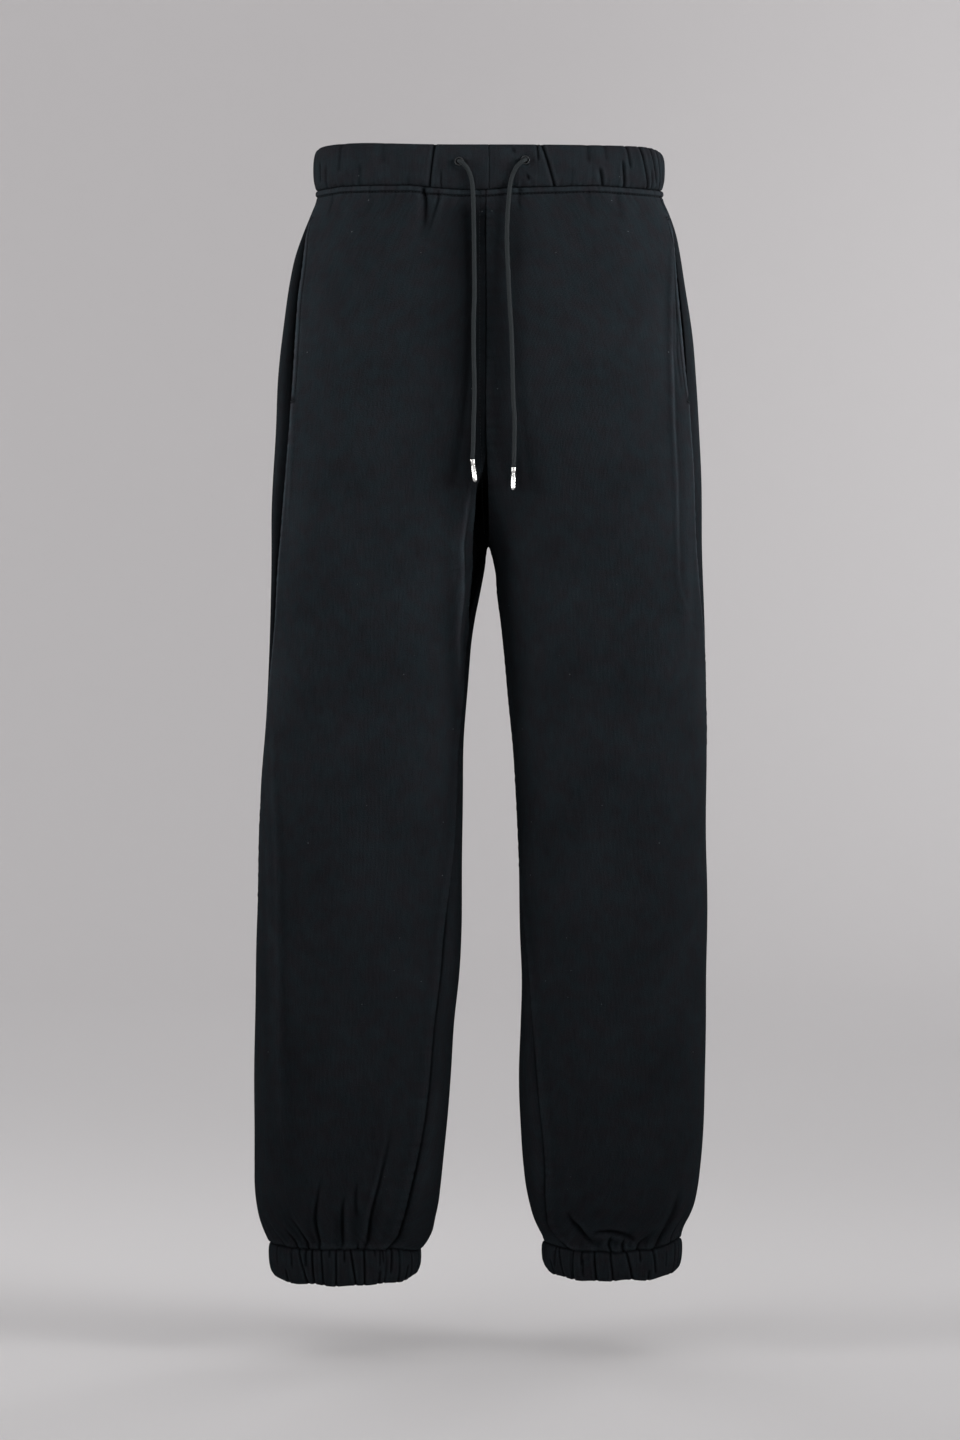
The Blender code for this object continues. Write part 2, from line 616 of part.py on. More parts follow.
def waistband(leg):
    """Half of the waistband with its eyelet. The eyelet's hole goes through the outer cloth only."""
    profile = casing_profile(BAND_TOP, WAIST_SEAM, BAND_THICK, BAND_PUFF, BAND_TAPER)
    columns = pleated_columns(WAIST_PLEATS[leg], closed=False)
    points, faces = band_solid(half_waist_path(leg), columns, profile, closed=False)
    band = add_mesh(f"waistband_{leg}", points, faces, FLEECE)
    spot, normal = eyelet_seat(leg, points, faces)
    work = bmesh.new()
    bmesh.ops.create_cone(
        work, cap_ends=True, segments=16, radius1=EYELET_HOLE, radius2=EYELET_HOLE, depth=2 * EYELET_DEPTH
    )
    mesh = bpy.data.meshes.new(f"eyelet_cutter_{leg}")
    work.to_mesh(mesh)
    work.free()
    cutter = bpy.data.objects.new(f"eyelet_cutter_{leg}", mesh)
    bpy.data.collections["cutters"].objects.link(cutter)
    cutter.location = spot
    cutter.rotation_euler = facing(normal)
    cutter.hide_render = True
    cutter.display_type = "WIRE"
    hole = band.modifiers.new("eyelet_hole", "BOOLEAN")
    hole.operation = "DIFFERENCE"
    hole.solver = "EXACT"
    hole.object = cutter
    eyelet(leg, spot, normal)


def eyelet_seat(leg, points, faces):
    """The point on the waistband's outside that an eyelet is set round, and its outward direction."""
    x, z = (v * MM for v in EYELET_PLACE[leg])
    band = BVHTree.FromPolygons([tuple(p) for p in points], faces)
    spot, normal, _, _ = band.ray_cast(Vector((x, -1, z)), Vector((0, 1, 0)))
    return spot, -normal if normal.y > 0 else normal


def facing(normal):
    """The rotation that turns a piece's own +Z towards a direction."""
    return Vector(normal).to_track_quat("Z", "Y").to_euler()


def turned(name, profile, finish, steps):
    """A turned solid: a profile of (radius, height) from top to bottom, spun about its own axis."""
    mesh = bpy.data.meshes.new(name)
    edges = [(i, i + 1) for i in range(len(profile) - 1)]
    mesh.from_pydata([(r, 0, z) for r, z in profile], edges, [])
    made = add_object(name, mesh, finish)
    screw = made.modifiers.new("turned", "SCREW")
    screw.steps = screw.render_steps = steps
    screw.use_merge_vertices = True
    screw.merge_threshold = 0.00001
    screw.use_normal_calculate = True
    return made


def eyelet(leg, spot, normal):
    """A flat ring set in the waistband, with a rounded rim round its hole."""
    inner, outer, rise = EYELET_HOLE + 0.1 * MM, EYELET_RADIUS, EYELET_RISE
    middle = (inner + outer) / 2
    ring = [(inner, 0.2 * rise), (inner + 0.2 * MM, rise), (middle, 1.25 * rise), (outer - 0.3 * MM, rise),
            (outer, 0.2 * rise), (outer, 0.0), (inner, 0.0), (inner, 0.2 * rise)]
    made = turned(f"eyelet_{leg}", ring[::-1], EYELET, steps=18)
    made.location = spot + normal * SEAM_GAP
    made.rotation_euler = facing(normal)
    return made


def smooth_route(points, step):
    """A smooth curve through a route's points, with points about a step apart."""
    p = np.array(points, float) * MM
    gap = np.linalg.norm(np.diff(p, axis=0), axis=1)
    at = np.concatenate([[0], np.cumsum(np.sqrt(gap))])
    slope = np.gradient(p, at, axis=0)
    curve = []
    for i in range(len(p) - 1):
        span = at[i + 1] - at[i]
        t = np.linspace(0, 1, 12, endpoint=False)[:, None]
        curve.append(
            p[i] * (1 + 2 * t) * (1 - t) ** 2 + p[i + 1] * t**2 * (3 - 2 * t)
            + slope[i] * span * t * (1 - t) ** 2 - slope[i + 1] * span * t**2 * (1 - t)
        )
    curve = np.concatenate(curve + [p[-1:]])
    along = np.concatenate([[0], np.cumsum(np.linalg.norm(np.diff(curve, axis=0), axis=1))])
    even = np.linspace(0, along[-1], max(2, round(along[-1] / step)) + 1)
    return np.stack([np.interp(even, along, curve[:, k]) for k in range(3)], axis=1)


def drawcord(leg):
    """One free end of the drawcord, a round braid that hangs down the front."""
    route = smooth_route(DRAWCORD_ROUTE[leg], step=4.5 * CORD_RADIUS)
    curve = bpy.data.curves.new(f"drawcord_{leg}", "CURVE")
    curve.dimensions = "3D"
    curve.bevel_depth = CORD_RADIUS
    curve.bevel_resolution = 2
    curve.use_fill_caps = True
    line = curve.splines.new("POLY")
    line.points.add(len(route) - 1)
    for point, place in zip(line.points, route):
        point.co = (*place, 1.0)
    return add_object(f"drawcord_{leg}", curve, CORDING)


def cord_tip(leg):
    """A metal tip crimped on the cord's end: a sleeve with a rolled lip and a rounded foot."""
    r, tall = TIP_RADIUS, TIP_LENGTH
    profile = [(0, 0), (r + 0.25 * MM, 0), (r + 0.25 * MM, -1.2 * MM), (r, -1.6 * MM), (r, -tall + 1.4 * MM),
               (0.8 * r, -tall + 0.4 * MM), (0.45 * r, -tall), (0, -tall)]
    made = turned(f"cord_tip_{leg}", profile, STEEL, steps=16)
    top = np.array(DRAWCORD_ROUTE[leg][-1]) * MM
    down = np.array(TIP_FOOT[leg]) * MM - top
    down /= np.linalg.norm(down)
    made.location = top + down * 2 * SEAM_GAP
    made.rotation_euler = facing(-down)
    return made


def cuff(leg):
    """The elastic casing at a leg's foot, gathered all round."""
    line, along = whole_line(leg, CUFF_SEAM)
    line[:, 2] = 0.0

    def path(place):
        at = (place % 1.0) * along[-1]
        spot, near, far = (
            np.array([np.interp((at + d) % along[-1], along, line[:, k]) for k in range(3)])
            for d in (0, -2 * MM, 2 * MM)
        )
        normal = np.cross(far - near, [0, 0, 1]) * SIDE[leg]
        return spot, normal / np.linalg.norm(normal)

    pleats = []
    for i in range(CUFF_PLEATS):
        uneven = math.sin(2.4 * i + SIDE[leg])
        place = (i + 0.28 * uneven) / CUFF_PLEATS
        depth = CUFF_PLEAT_DEPTH * (1 + 0.35 * math.sin(4.1 * i + 2 * SIDE[leg]))
        pleats.append(Pleat(place, 0.006 * math.cos(3.3 * i), depth))
    low = CUFF_SEAM - CUFF_HEIGHT[leg]
    upright = casing_profile(CUFF_SEAM, low, CUFF_THICK, CUFF_PUFF, CUFF_TAPER)
    profile = [(out, low + CUFF_SEAM - z) for out, z in upright]
    points, faces = band_solid(path, pleated_columns(pleats, closed=True), profile, closed=True)
    return add_mesh(f"cuff_{leg}", points, faces, FLEECE)


def main():
    start_empty()
    for leg in SIDE:
        leg_panel(leg, "front")
        leg_panel(leg, "back")
        pocket_bag(leg)
        waistband(leg)
        cuff(leg)
        drawcord(leg)
        cord_tip(leg)


main()
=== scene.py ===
# %% [markdown]
# # Jogger sweatpants in heavy brushed fleece
# The garment is shown as if a wearer had just stepped out of it: a hollow form that hangs from its waist.
# A CAD model fixes where everything is. Here each plain solid gets a piece of cloth, cord or metal over it.
# Every surface is worked out with numpy, as whole arrays, from sizes that a maker could measure.

# %% Load the fixed frame
import math
from collections import namedtuple
import bpy
import numpy as np
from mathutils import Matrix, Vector


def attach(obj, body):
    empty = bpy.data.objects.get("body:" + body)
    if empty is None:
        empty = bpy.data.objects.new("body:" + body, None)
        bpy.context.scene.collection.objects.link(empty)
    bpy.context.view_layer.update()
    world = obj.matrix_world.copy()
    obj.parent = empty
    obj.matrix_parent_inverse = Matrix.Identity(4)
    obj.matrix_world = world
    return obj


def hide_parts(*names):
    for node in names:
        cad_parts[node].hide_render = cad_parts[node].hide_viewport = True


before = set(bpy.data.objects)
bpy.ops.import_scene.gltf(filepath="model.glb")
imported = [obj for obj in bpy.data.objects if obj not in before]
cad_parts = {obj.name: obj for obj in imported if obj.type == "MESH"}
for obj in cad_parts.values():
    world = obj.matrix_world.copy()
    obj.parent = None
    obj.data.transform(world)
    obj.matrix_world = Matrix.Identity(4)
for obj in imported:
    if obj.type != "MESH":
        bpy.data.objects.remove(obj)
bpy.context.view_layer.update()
MM = 0.001
SIDE = {"right": -1.0, "left": 1.0}

# %% [markdown]
# ## The camera
# A long lens far away keeps the two legs parallel, as in a catalogue picture. The lens is worked out from the
# distance and from how much of the wall fits the tall side of a 960 x 1440 picture at that distance.

# %% Camera
DISTANCE, SENSOR = 3.8, 36
TALL_VIEW = 1440 * 0.92 * MM        # 0.92 mm of the garment for each pixel
camera = bpy.data.objects.new("camera", bpy.data.cameras.new("camera"))
bpy.context.scene.collection.objects.link(camera)
camera.location = (-0.0080, -DISTANCE, -0.506)
camera.rotation_euler = (math.radians(90), 0, 0)
camera.data.sensor_fit = "VERTICAL"
camera.data.sensor_height = camera.data.sensor_width = SENSOR
camera.data.lens = SENSOR * DISTANCE / TALL_VIEW
bpy.context.scene.camera = camera
print("lens", round(camera.data.lens, 2), "mm")

# %% [markdown]
# ## From arrays to a mesh
# All pieces are grids of points. One function puts any grid into a mesh with foreach_set, which copies whole
# arrays and is far quicker than adding points one by one. It also stores the cloth's own UV map in metres and
# a tone for each point, which the fleece's colour is multiplied by: painted highlight on ridges and seam
# lips, and painted shade in hollows, creases and seam grooves.

# %% Mesh helpers
UP = np.array([0, 0, 1.0])


def make_piece(name, points, faces, uv=None, tones_with_painted_light=None):
    """A mesh object from points (n, 3) and a list of face arrays, each with 3 or 4 columns of indices."""
    mesh = bpy.data.meshes.new(name)
    loops = np.concatenate([f.ravel() for f in faces]).astype(np.int32)
    sizes = np.concatenate([np.full(len(f), f.shape[1]) for f in faces])
    starts = np.concatenate([[0], np.cumsum(sizes)[:-1]]).astype(np.int32)
    mesh.vertices.add(len(points))
    mesh.vertices.foreach_set("co", np.asarray(points, np.float32).ravel())
    mesh.loops.add(len(loops))
    mesh.loops.foreach_set("vertex_index", loops)
    mesh.polygons.add(len(starts))
    mesh.polygons.foreach_set("loop_start", starts)
    mesh.update(calc_edges=True)
    if uv is not None:
        layer = mesh.uv_layers.new(name="cloth")
        layer.data.foreach_set("uv", np.asarray(uv, np.float32)[loops].ravel())
    # The tone is painted light: highlights on ridges and painted shade in hollows, creases and seam grooves.
    if tones_with_painted_light is not None:
        mark = mesh.attributes.new("tone_with_painted_light", "FLOAT", "POINT")
        mark.data.foreach_set("value", np.asarray(tones_with_painted_light, np.float32).ravel())
    mesh.shade_smooth()
    made = bpy.data.objects.new(name, mesh)
    bpy.context.scene.collection.objects.link(made)
    return made


def grid_faces(rows, columns, wrap_rows=False, wrap_columns=False):
    """Quads of a grid of points stored row by row. A wrapped side joins the last line to the first."""
    j = np.arange(rows if wrap_rows else rows - 1)[:, None]
    i = np.arange(columns if wrap_columns else columns - 1)[None, :]
    j2, i2 = (j + 1) % rows, (i + 1) % columns
    quads = [j * columns + i, j * columns + i2, j2 * columns + i2, j2 * columns + i]
    return np.stack([np.broadcast_to(q, np.broadcast(j, i).shape) for q in quads], -1).reshape(-1, 4)


def caps(count, last, poles):
    """Triangles that close a tube's first ring and its last one, each round a point of its own."""
    i = np.arange(count)
    following = (i + 1) % count
    return np.concatenate([np.stack([i, np.full(count, poles[0]), following], -1),
                           np.stack([last + i, last + following, np.full(count, poles[1])], -1)])


def outward(points, faces, directions):
    """The faces, all turned round if the quads look against the outward directions of their first points."""
    quads = faces[0]
    a, b, c = (points[quads[:, k]] for k in (0, 1, 2))
    looks = (np.cross(b - a, c - a) * directions[quads[:, 0]]).sum()
    return faces if looks > 0 else [f[:, ::-1] for f in faces]


def unit(v):
    """Vectors cut to a length of 1."""
    return v / np.linalg.norm(v, axis=-1, keepdims=True)


def ease(t):
    """0 to 1 on a curve that starts and ends level."""
    t = np.clip(t, 0.0, 1.0)
    return t * t * (3 - 2 * t)


def circle(count):
    """Even angles once round."""
    return np.linspace(0, 2 * math.pi, count, endpoint=False)


print("helpers ready")

# %% [markdown]
# ## The drawcord's free ends
# One round braided cord runs inside the waistband. Its two ends come out of eyelets, turn down over their
# rims and hang by their own weight. A curve with a bevel would be round and quick, but a braid has raised
# strands, so the tube is a grid: angle round the cord by length along it, with the strands as a low relief.

# %% Cord routes, in metres
CORD_RADIUS = 2.0 * MM
ROUTE = {
    "left": np.array([
        (32.0, -86.2, -3.4), (32.6, -90.9, -3.1), (32.7, -93.8, -3.1), (31.3, -96.1, -4.1),
        (28.8, -97.0, -6.0), (25.8, -96.8, -8.8), (23.2, -96.0, -12.8), (21.2, -95.2, -17.4),
        (19.3, -94.6, -24.0), (18.2, -95.2, -34.0), (17.5, -96.4, -43.0), (16.8, -98.2, -52.0),
        (16.2, -102.9, -76.5), (17.4, -108.4, -109.0), (18.9, -112.1, -140.7), (20.0, -113.3, -157.0),
        (21.0, -114.4, -189.0), (21.8, -114.8, -221.0), (22.9, -114.9, -237.5), (22.5, -114.7, -268.0),
        (22.0, -114.5, -279.8)]) * MM,
    "right": np.array([
        (-26.1, -87.0, -4.7), (-26.7, -91.7, -4.4), (-26.8, -94.7, -4.4), (-25.4, -96.8, -5.4),
        (-23.1, -97.5, -7.1), (-20.4, -97.1, -9.9), (-18.0, -96.1, -13.9), (-16.3, -95.4, -18.6),
        (-15.0, -95.0, -24.0), (-14.2, -95.5, -33.0), (-13.9, -96.6, -42.0), (-13.7, -98.3, -52.0),
        (-13.3, -103.3, -76.5), (-13.1, -107.9, -100.0), (-12.9, -111.4, -125.4), (-13.6, -113.3, -149.0),
        (-13.5, -114.5, -181.0), (-12.9, -115.0, -213.0), (-13.6, -115.2, -237.0), (-14.1, -115.0, -262.0),
        (-14.8, -114.8, -272.8)]) * MM,
}
TIP_FOOT = {"left": np.array([21.4, -114.1, -301.0]) * MM, "right": np.array([-12.4, -114.4, -292.4]) * MM}


def lengths(line):
    """How far along a line of points each of them lies."""
    return np.concatenate([[0], np.cumsum(np.linalg.norm(np.diff(line, axis=0), axis=1))])


def read(line, along, at):
    """The points of a line at any distances along it."""
    return np.stack([np.interp(at, along, column) for column in line.T], -1)


def cubic(at, value, slope, x):
    """Cubic pieces from value to value, with the slope given for each, so the curve has no corner."""
    i = np.clip(np.searchsorted(at, x) - 1, 0, len(at) - 2)
    each = (..., *[None] * (value.ndim - 1))
    span = (at[i + 1] - at[i])[each]
    t = (x - at[i])[each] / span
    return (value[i] * (1 + 2 * t) * (1 - t) ** 2 + value[i + 1] * t**2 * (3 - 2 * t)
            + slope[i] * span * t * (1 - t) ** 2 - slope[i + 1] * span * t**2 * (1 - t))


def smooth_route(p, step):
    """A cubic curve through the route's points, with slopes from their neighbours, cut into even steps."""
    at = np.concatenate([[0], np.cumsum(np.sqrt(np.linalg.norm(np.diff(p, axis=0), axis=1)))])
    curve = cubic(at, p, np.gradient(p, at, axis=0), np.linspace(0, at[-1], 4000))
    along = lengths(curve)
    return read(curve, along, np.linspace(0, along[-1], max(2, round(along[-1] / step)) + 1))


cord_lines = {leg: smooth_route(ROUTE[leg], 0.7 * MM) for leg in SIDE}
cord_length = {leg: float(lengths(line)[-1]) for leg, line in cord_lines.items()}
print("cord lengths", {leg: round(v, 4) for leg, v in cord_length.items()})

# %% Braided tubes
BRAID_STRANDS = 6
BRAID_TURN = 9 * MM
BRAID_RELIEF = 0.22 * MM
CORD_SIDES = 32


def braid(angle, along):
    """Strands that cross in a diamond pattern: in each cell one of two helices lies on top, with a round
    back of 1 - (2 x the share of the way across it - 1)^2."""
    u = BRAID_STRANDS * (angle / (2 * math.pi) + along / BRAID_TURN)
    v = BRAID_STRANDS * (angle / (2 * math.pi) - along / BRAID_TURN)
    over = (np.floor(u) + np.floor(v)) % 2
    across = np.where(over > 0.5, u, v) % 1.0
    return 1 - (2 * across - 1) ** 2


def tube(line, radius, sides):
    """A braided tube: centre + (radius + relief) x (cos a x one normal + sin a x the other), and its caps."""
    tangent = unit(np.gradient(line, axis=0))
    second = unit(np.cross(tangent, [1.0, 0.0, 0.0]))
    first = np.cross(second, tangent)
    along = lengths(line)
    a, s = np.meshgrid(circle(sides), along)
    r = (radius + BRAID_RELIEF * braid(a, s))[..., None]
    ring = r * (np.cos(a)[..., None] * first[:, None] + np.sin(a)[..., None] * second[:, None])
    points = np.concatenate([(line[:, None] + ring).reshape(-1, 3), line[[0, -1]]])
    uv = np.concatenate([np.stack([a * radius, s], -1).reshape(-1, 2), [[0, 0], [0, along[-1]]]])
    n = len(line) * sides
    faces = [grid_faces(len(line), sides, wrap_columns=True), caps(sides, n - sides, (n, n + 1))]
    return points, outward(points, faces, ring.reshape(-1, 3)), uv


cords = {}
for leg, line in cord_lines.items():
    points, faces, uv = tube(line, CORD_RADIUS - BRAID_RELIEF, CORD_SIDES)
    cords[leg] = make_piece(f"braided_cord_{leg}", points, faces, uv)
    print(cords[leg].name, "triangles:", 2 * len(faces[0]))

# %% [markdown]
# ## Metal tips and eyelets
# Each cord ends in a metal sleeve, crimped on, and each eyelet is a rolled ring pressed into the cloth. Both
# are round, so both are a profile of radius and height spun about an axis. The axis is given by a point and
# a direction, and the place goes into the mesh itself.

# %% Spun pieces
def spun(name, profile, sides, origin, axis, closed):
    """A profile of (radius, height) turned about an axis: a ring if it is closed, else a body with poles."""
    axis = unit(np.asarray(axis, float))
    not_the_axis = [0.31, 0.2, 0.93]
    first = unit(np.cross(axis, not_the_axis))
    second = np.cross(axis, first)
    angle = circle(sides)
    round_it = np.cos(angle)[:, None] * first + np.sin(angle)[:, None] * second
    body = profile if closed else profile[1:-1]
    points = (origin + body[:, 1, None, None] * axis + body[:, 0, None, None] * round_it[None]).reshape(-1, 3)
    uv = np.stack(np.meshgrid(angle * body[:, 0].max(), body[:, 1]), -1).reshape(-1, 2)
    faces = [grid_faces(len(body), sides, wrap_rows=closed, wrap_columns=True)]
    if not closed:
        n = len(points)
        points = np.concatenate([points, origin + profile[[0, -1], 1, None] * axis])
        uv = np.concatenate([uv, [[0, profile[0, 1]], [0, profile[-1, 1]]]])
        faces.append(caps(sides, n - sides, (n, n + 1)))
    inside = origin + axis * profile[:, 1].mean()
    middle = inside + (unit(points - inside - ((points - inside) @ axis)[:, None] * axis)
                       * profile[:, 0].mean() if closed else 0)
    return make_piece(name, points, outward(points, faces, points - middle), uv)


TIP_RADIUS = 2.1 * MM
TIP_OVERLAP = 0.6 * MM
# How far the sleeve's wall lies from that radius, and how far down: its rolled mouth, its crimp and its end.
SLEEVE = np.array([
    (-2.1, 0), (-0.5, 0), (0.1, 0.1), (0.28, 0.45), (0.28, 0.95), (0.05, 1.35), (0, 2.2), (-0.02, 5.2),
    (-0.3, 5.6), (-0.3, 6.1), (0, 6.5), (0, 18.2), (-0.1, 19), (-0.45, 19.8), (-1.05, 20.3),
    (-2.1, 20.5)]) * MM
tips = {}
for leg in SIDE:
    top = ROUTE[leg][-1]
    down = unit(TIP_FOOT[leg] - top)
    start = top + down * TIP_OVERLAP
    tips[leg] = spun(f"metal_tip_{leg}", SLEEVE + (TIP_RADIUS, 0), 40, start, down, closed=False)

# Each eyelet's middle in millimetres and the way it faces. The rim is the section of its round wire.
EYELET_SEAT = {"left": ((32.6, -90.92, -3.1), (0.132, -0.989, 0.066)),
               "right": ((-26.7, -91.74, -4.4), (-0.121, -0.990, 0.066))}
turn = circle(14)
rim = np.stack([(3.45 + 0.62 * np.cos(turn)) * MM, (0.35 + 0.5 * np.sin(turn)) * MM], -1)
eyelets = {}
for leg in SIDE:
    spot, facing = EYELET_SEAT[leg]
    eyelets[leg] = spun(f"eyelet_ring_{leg}", rim, 48, np.array(spot) * MM, facing, closed=True)
print("tips and eyelets made")

def stand_for(made, node):
    """A piece moves with the garment's one body and stands for a CAD node, whose plain solid is hidden."""
    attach(made, "root")
    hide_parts(node)


for leg in SIDE:
    stand_for(cords[leg], f"drawcord_{leg}")
    stand_for(tips[leg], f"cord_tip_{leg}")
    stand_for(eyelets[leg], f"eyelet_{leg}")

# %% [markdown]
# ## The form of a leg
# A leg is a stack of level ovals. Each has an outer and an inner reach, a front and a back depth, and a
# squareness, read from short tables on smooth curves. Above the crotch the centre plane cuts the ovals, so
# that the two legs meet there. Places on the cloth are given as a tailor would: how far round the leg from
# its outermost line, and how high. So the ovals are unrolled once into a table of distances.

# %% Tables of the leg's form
def table(names, *rows):
    """A table with one array for each named column, sorted by its first, the height in millimetres."""
    rows = np.array(sorted(rows), float)
    return {name: rows[:, k] for k, name in enumerate(names.split())}


# How far out from the centre plane the outer and the inner side of each oval reach.
OUTLINE = table(
    "height right_outer right_inner left_outer left_inner",
    (-20, 157.8, -158, 158.2, -158), (-30, 159, -160.5, 160.6, -160.5), (-38, 162, -163, 164.2, -163),
    (-59, 170, -168, 171.8, -168), (-81, 177.2, -171, 176.6, -171), (-103, 181.9, -170, 180.3, -170),
    (-147, 188.4, -150, 186.6, -150), (-191, 193.2, -121, 190, -121), (-235, 195.8, -86, 193.2, -86),
    (-280, 198.4, -46, 195.4, -46), (-315, 199.5, -18, 195.8, -18), (-345, 199.7, 0.15, 195.9, 0.15),
    (-368, 200.1, 3.6, 196.3, 6), (-390, 200.6, 7.5, 196.8, 8.4), (-412, 201, 11.9, 197.3, 11.6),
    (-434, 201.5, 15.4, 197.8, 14), (-478, 203.4, 19.4, 198.7, 18.6), (-522, 205.4, 22.1, 199.6, 22.8),
    (-567, 208.2, 23, 199.8, 25), (-611, 210.6, 24, 200, 27.2), (-699, 212.6, 25.8, 200.4, 28.6),
    (-743, 213.5, 27.8, 199.8, 30), (-787, 214.5, 32, 199.6, 28.6), (-832, 215.2, 35, 198.6, 27.6),
    (-876, 215.3, 38.2, 196.8, 29.2), (-913, 215, 42.2, 194, 31.6), (-935, 214.4, 44.8, 191.6, 34.2),
    (-951, 212.6, 47, 188.4, 37.6), (-963, 210.2, 49.9, 184.2, 41), (-974, 206.6, 53, 179.6, 45.6),
    (-982, 203, 58.8, 177.4, 49.4), (-986, 200.8, 63.2, 176.8, 50.4))
# How deep the ovals are before and behind the side seams' plane, and how square: 2 is an ellipse.
DEPTH = table(
    "height front back square",
    (-15, 90, 96, 2.2), (-30, 93, 103, 2.22), (-52, 98, 112, 2.28), (-95, 106, 130, 2.36),
    (-145, 111, 144, 2.4), (-195, 113, 151, 2.4), (-245, 113, 149, 2.4), (-295, 111, 139, 2.4),
    (-340, 108, 126, 2.4), (-395, 104, 116, 2.4), (-495, 99, 106, 2.4), (-595, 94, 101, 2.4),
    (-695, 89, 100, 2.4), (-795, 85, 99, 2.4), (-875, 82, 95, 2.38), (-925, 77, 88, 2.34),
    (-955, 69, 77, 2.28), (-980, 54, 57, 2.2))
# How far round the leg the seams lie, in degrees towards the front.
SEAMS = table(
    "height right_side right_inseam left_side left_inseam",
    (-15, 9, 0, 9, 0), (-50, 10, 0, 12.5, 0), (-62, 13.5, 0, 13.7, 0), (-73, 17.3, 0, 14.8, 0),
    (-84, 19.8, 0, 15.9, 0), (-97, 21.4, 0, 17.2, 0), (-117, 22.5, 0, 19.1, 0), (-137, 24, 0, 21, 0),
    (-208, 29.5, 0, 25, 0), (-295, 31.5, 0, 28, 0), (-345, 29.5, 0, 25.5, 0), (-367, 27, 7, 23, 2),
    (-400, 24.5, 18, 18.5, 4), (-435, 22, 20, 12.5, 4), (-475, 19.5, 20, 5.5, 3), (-540, 13, 22, -3.5, 3),
    (-619, 2, 26.5, -10, 6), (-690, -6, 34.5, -14, 20), (-747, -11, 38, -16, 28), (-846, -15, 42, -18, 41),
    (-919, -16, 48, -20, 44), (-952, -16, 52, -20, 39.5), (-970, -16, 54.5, -20, 37.5),
    (-981, -16, 57, -20, 46), (-988, -16, 59, -20, 58))
WALL, SEAM_GAP = 2.2 * MM, 0.3 * MM
CROTCH, WAIST_SEAM, CUFF_SEAM = -345 * MM, -19.5 * MM, -986 * MM
FRONT_DROP, BACK_RISE, DROP_FADES_OUT = 8.5 * MM, 8 * MM, -200 * MM


def smooth(rows, column, height):
    """A table's column at any heights: cubic pieces whose slopes come from the rows on either side."""
    at, value = rows["height"] * MM, rows[column]
    return cubic(at, value, np.gradient(value, at), np.clip(height, at[0], at[-1]))


def signed_power(value, power):
    """A power of the size, with the sign kept."""
    return np.sign(value) * np.abs(value) ** power


def oval(leg, height, angle):
    """x = middle + reach cos^(2/n), y = depth sin^(2/n). The angle turns from the outermost line forwards."""
    outer = smooth(OUTLINE, leg + "_outer", height) * MM
    inner = smooth(OUTLINE, leg + "_inner", height) * MM
    square = smooth(DEPTH, "square", height)
    front, back = smooth(DEPTH, "front", height) * MM, smooth(DEPTH, "back", height) * MM
    x = (outer + inner) / 2 + (outer - inner) / 2 * signed_power(np.cos(angle), 2 / square)
    y = -np.where(np.sin(angle) > 0, front, back) * signed_power(np.sin(angle), 2 / square)
    lift = np.where(y < 0, FRONT_DROP * y / front, BACK_RISE * y / back)
    lift = lift * (1 - ease(height / DROP_FADES_OUT))
    return np.stack(np.broadcast_arrays(SIDE[leg] * x, y, height + lift), axis=-1)


print("rows in the tables:", [len(rows["height"]) for rows in (OUTLINE, DEPTH, SEAMS)])

# %% Unroll the ovals
HEIGHTS = np.linspace(-994, -10, 493) * MM
TURN = np.linspace(-1.35 * math.pi, 1.35 * math.pi, 1201)
ROUND = np.linspace(-700, 700, 1401) * MM


def unroll(leg):
    """Distance round each oval from its outermost line for every angle, and the angle for every distance."""
    line = oval(leg, HEIGHTS[:, None], TURN)
    steps = np.linalg.norm(np.diff(line, axis=1), axis=2)
    along = np.concatenate([np.zeros((len(line), 1)), np.cumsum(steps, axis=1)], axis=1)
    along -= along[:, [600]]
    return along, np.array([np.interp(ROUND, row, TURN) for row in along])


UNROLLED = {leg: unroll(leg) for leg in SIDE}


def between(grid, first, last, place, height):
    """Reads a table at places across and heights, in proportion between its four nearest entries."""
    r = np.clip((height - HEIGHTS[0]) / (HEIGHTS[1] - HEIGHTS[0]), 0, len(HEIGHTS) - 1.001)
    c = np.clip((place - first) / (last - first) * (grid.shape[1] - 1), 0, grid.shape[1] - 1.001)
    j, i = np.floor(r).astype(int), np.floor(c).astype(int)
    r, c = r - j, c - i
    return ((grid[j, i] * (1 - c) + grid[j, i + 1] * c) * (1 - r)
            + (grid[j + 1, i] * (1 - c) + grid[j + 1, i + 1] * c) * r)


def distance_at(leg, height, angle):
    return between(UNROLLED[leg][0], TURN[0], TURN[-1], angle, height)


def form(leg, height, at):
    """Points of the leg's plain form at heights and distances round it, and its outward directions."""
    def spot(h, d):
        return oval(leg, h, between(UNROLLED[leg][1], ROUND[0], ROUND[-1], d, h))
    step = 2 * MM
    normal = np.cross(spot(height, at + step) - spot(height, at - step),
                      spot(height + step, at) - spot(height - step, at))
    return spot(height, at), unit(normal) * -SIDE[leg]


for leg in SIDE:
    half_girth = float(distance_at(leg, np.array(-0.56), np.array(math.pi)))
    print(leg, "girth at the knee", round(2 * half_girth, 3), "m")

# %% [markdown]
# ## Folds, gathers and creases
# Heavy fleece does not wrinkle finely. It bends in soft troughs, and where an elastic pulls it together it
# gathers in short deep ones. Each is a line on the unrolled cloth, drawn with a depth and a width.
# A displacement texture could scatter folds too, but it could not put them where the cloth is pulled.

# %% Gathers and soft folds that the solids have too
def by_leg(kind, **rows):
    """A list of named rows for each leg."""
    return {leg: [kind(*row) for row in rows[leg]] for leg in rows}


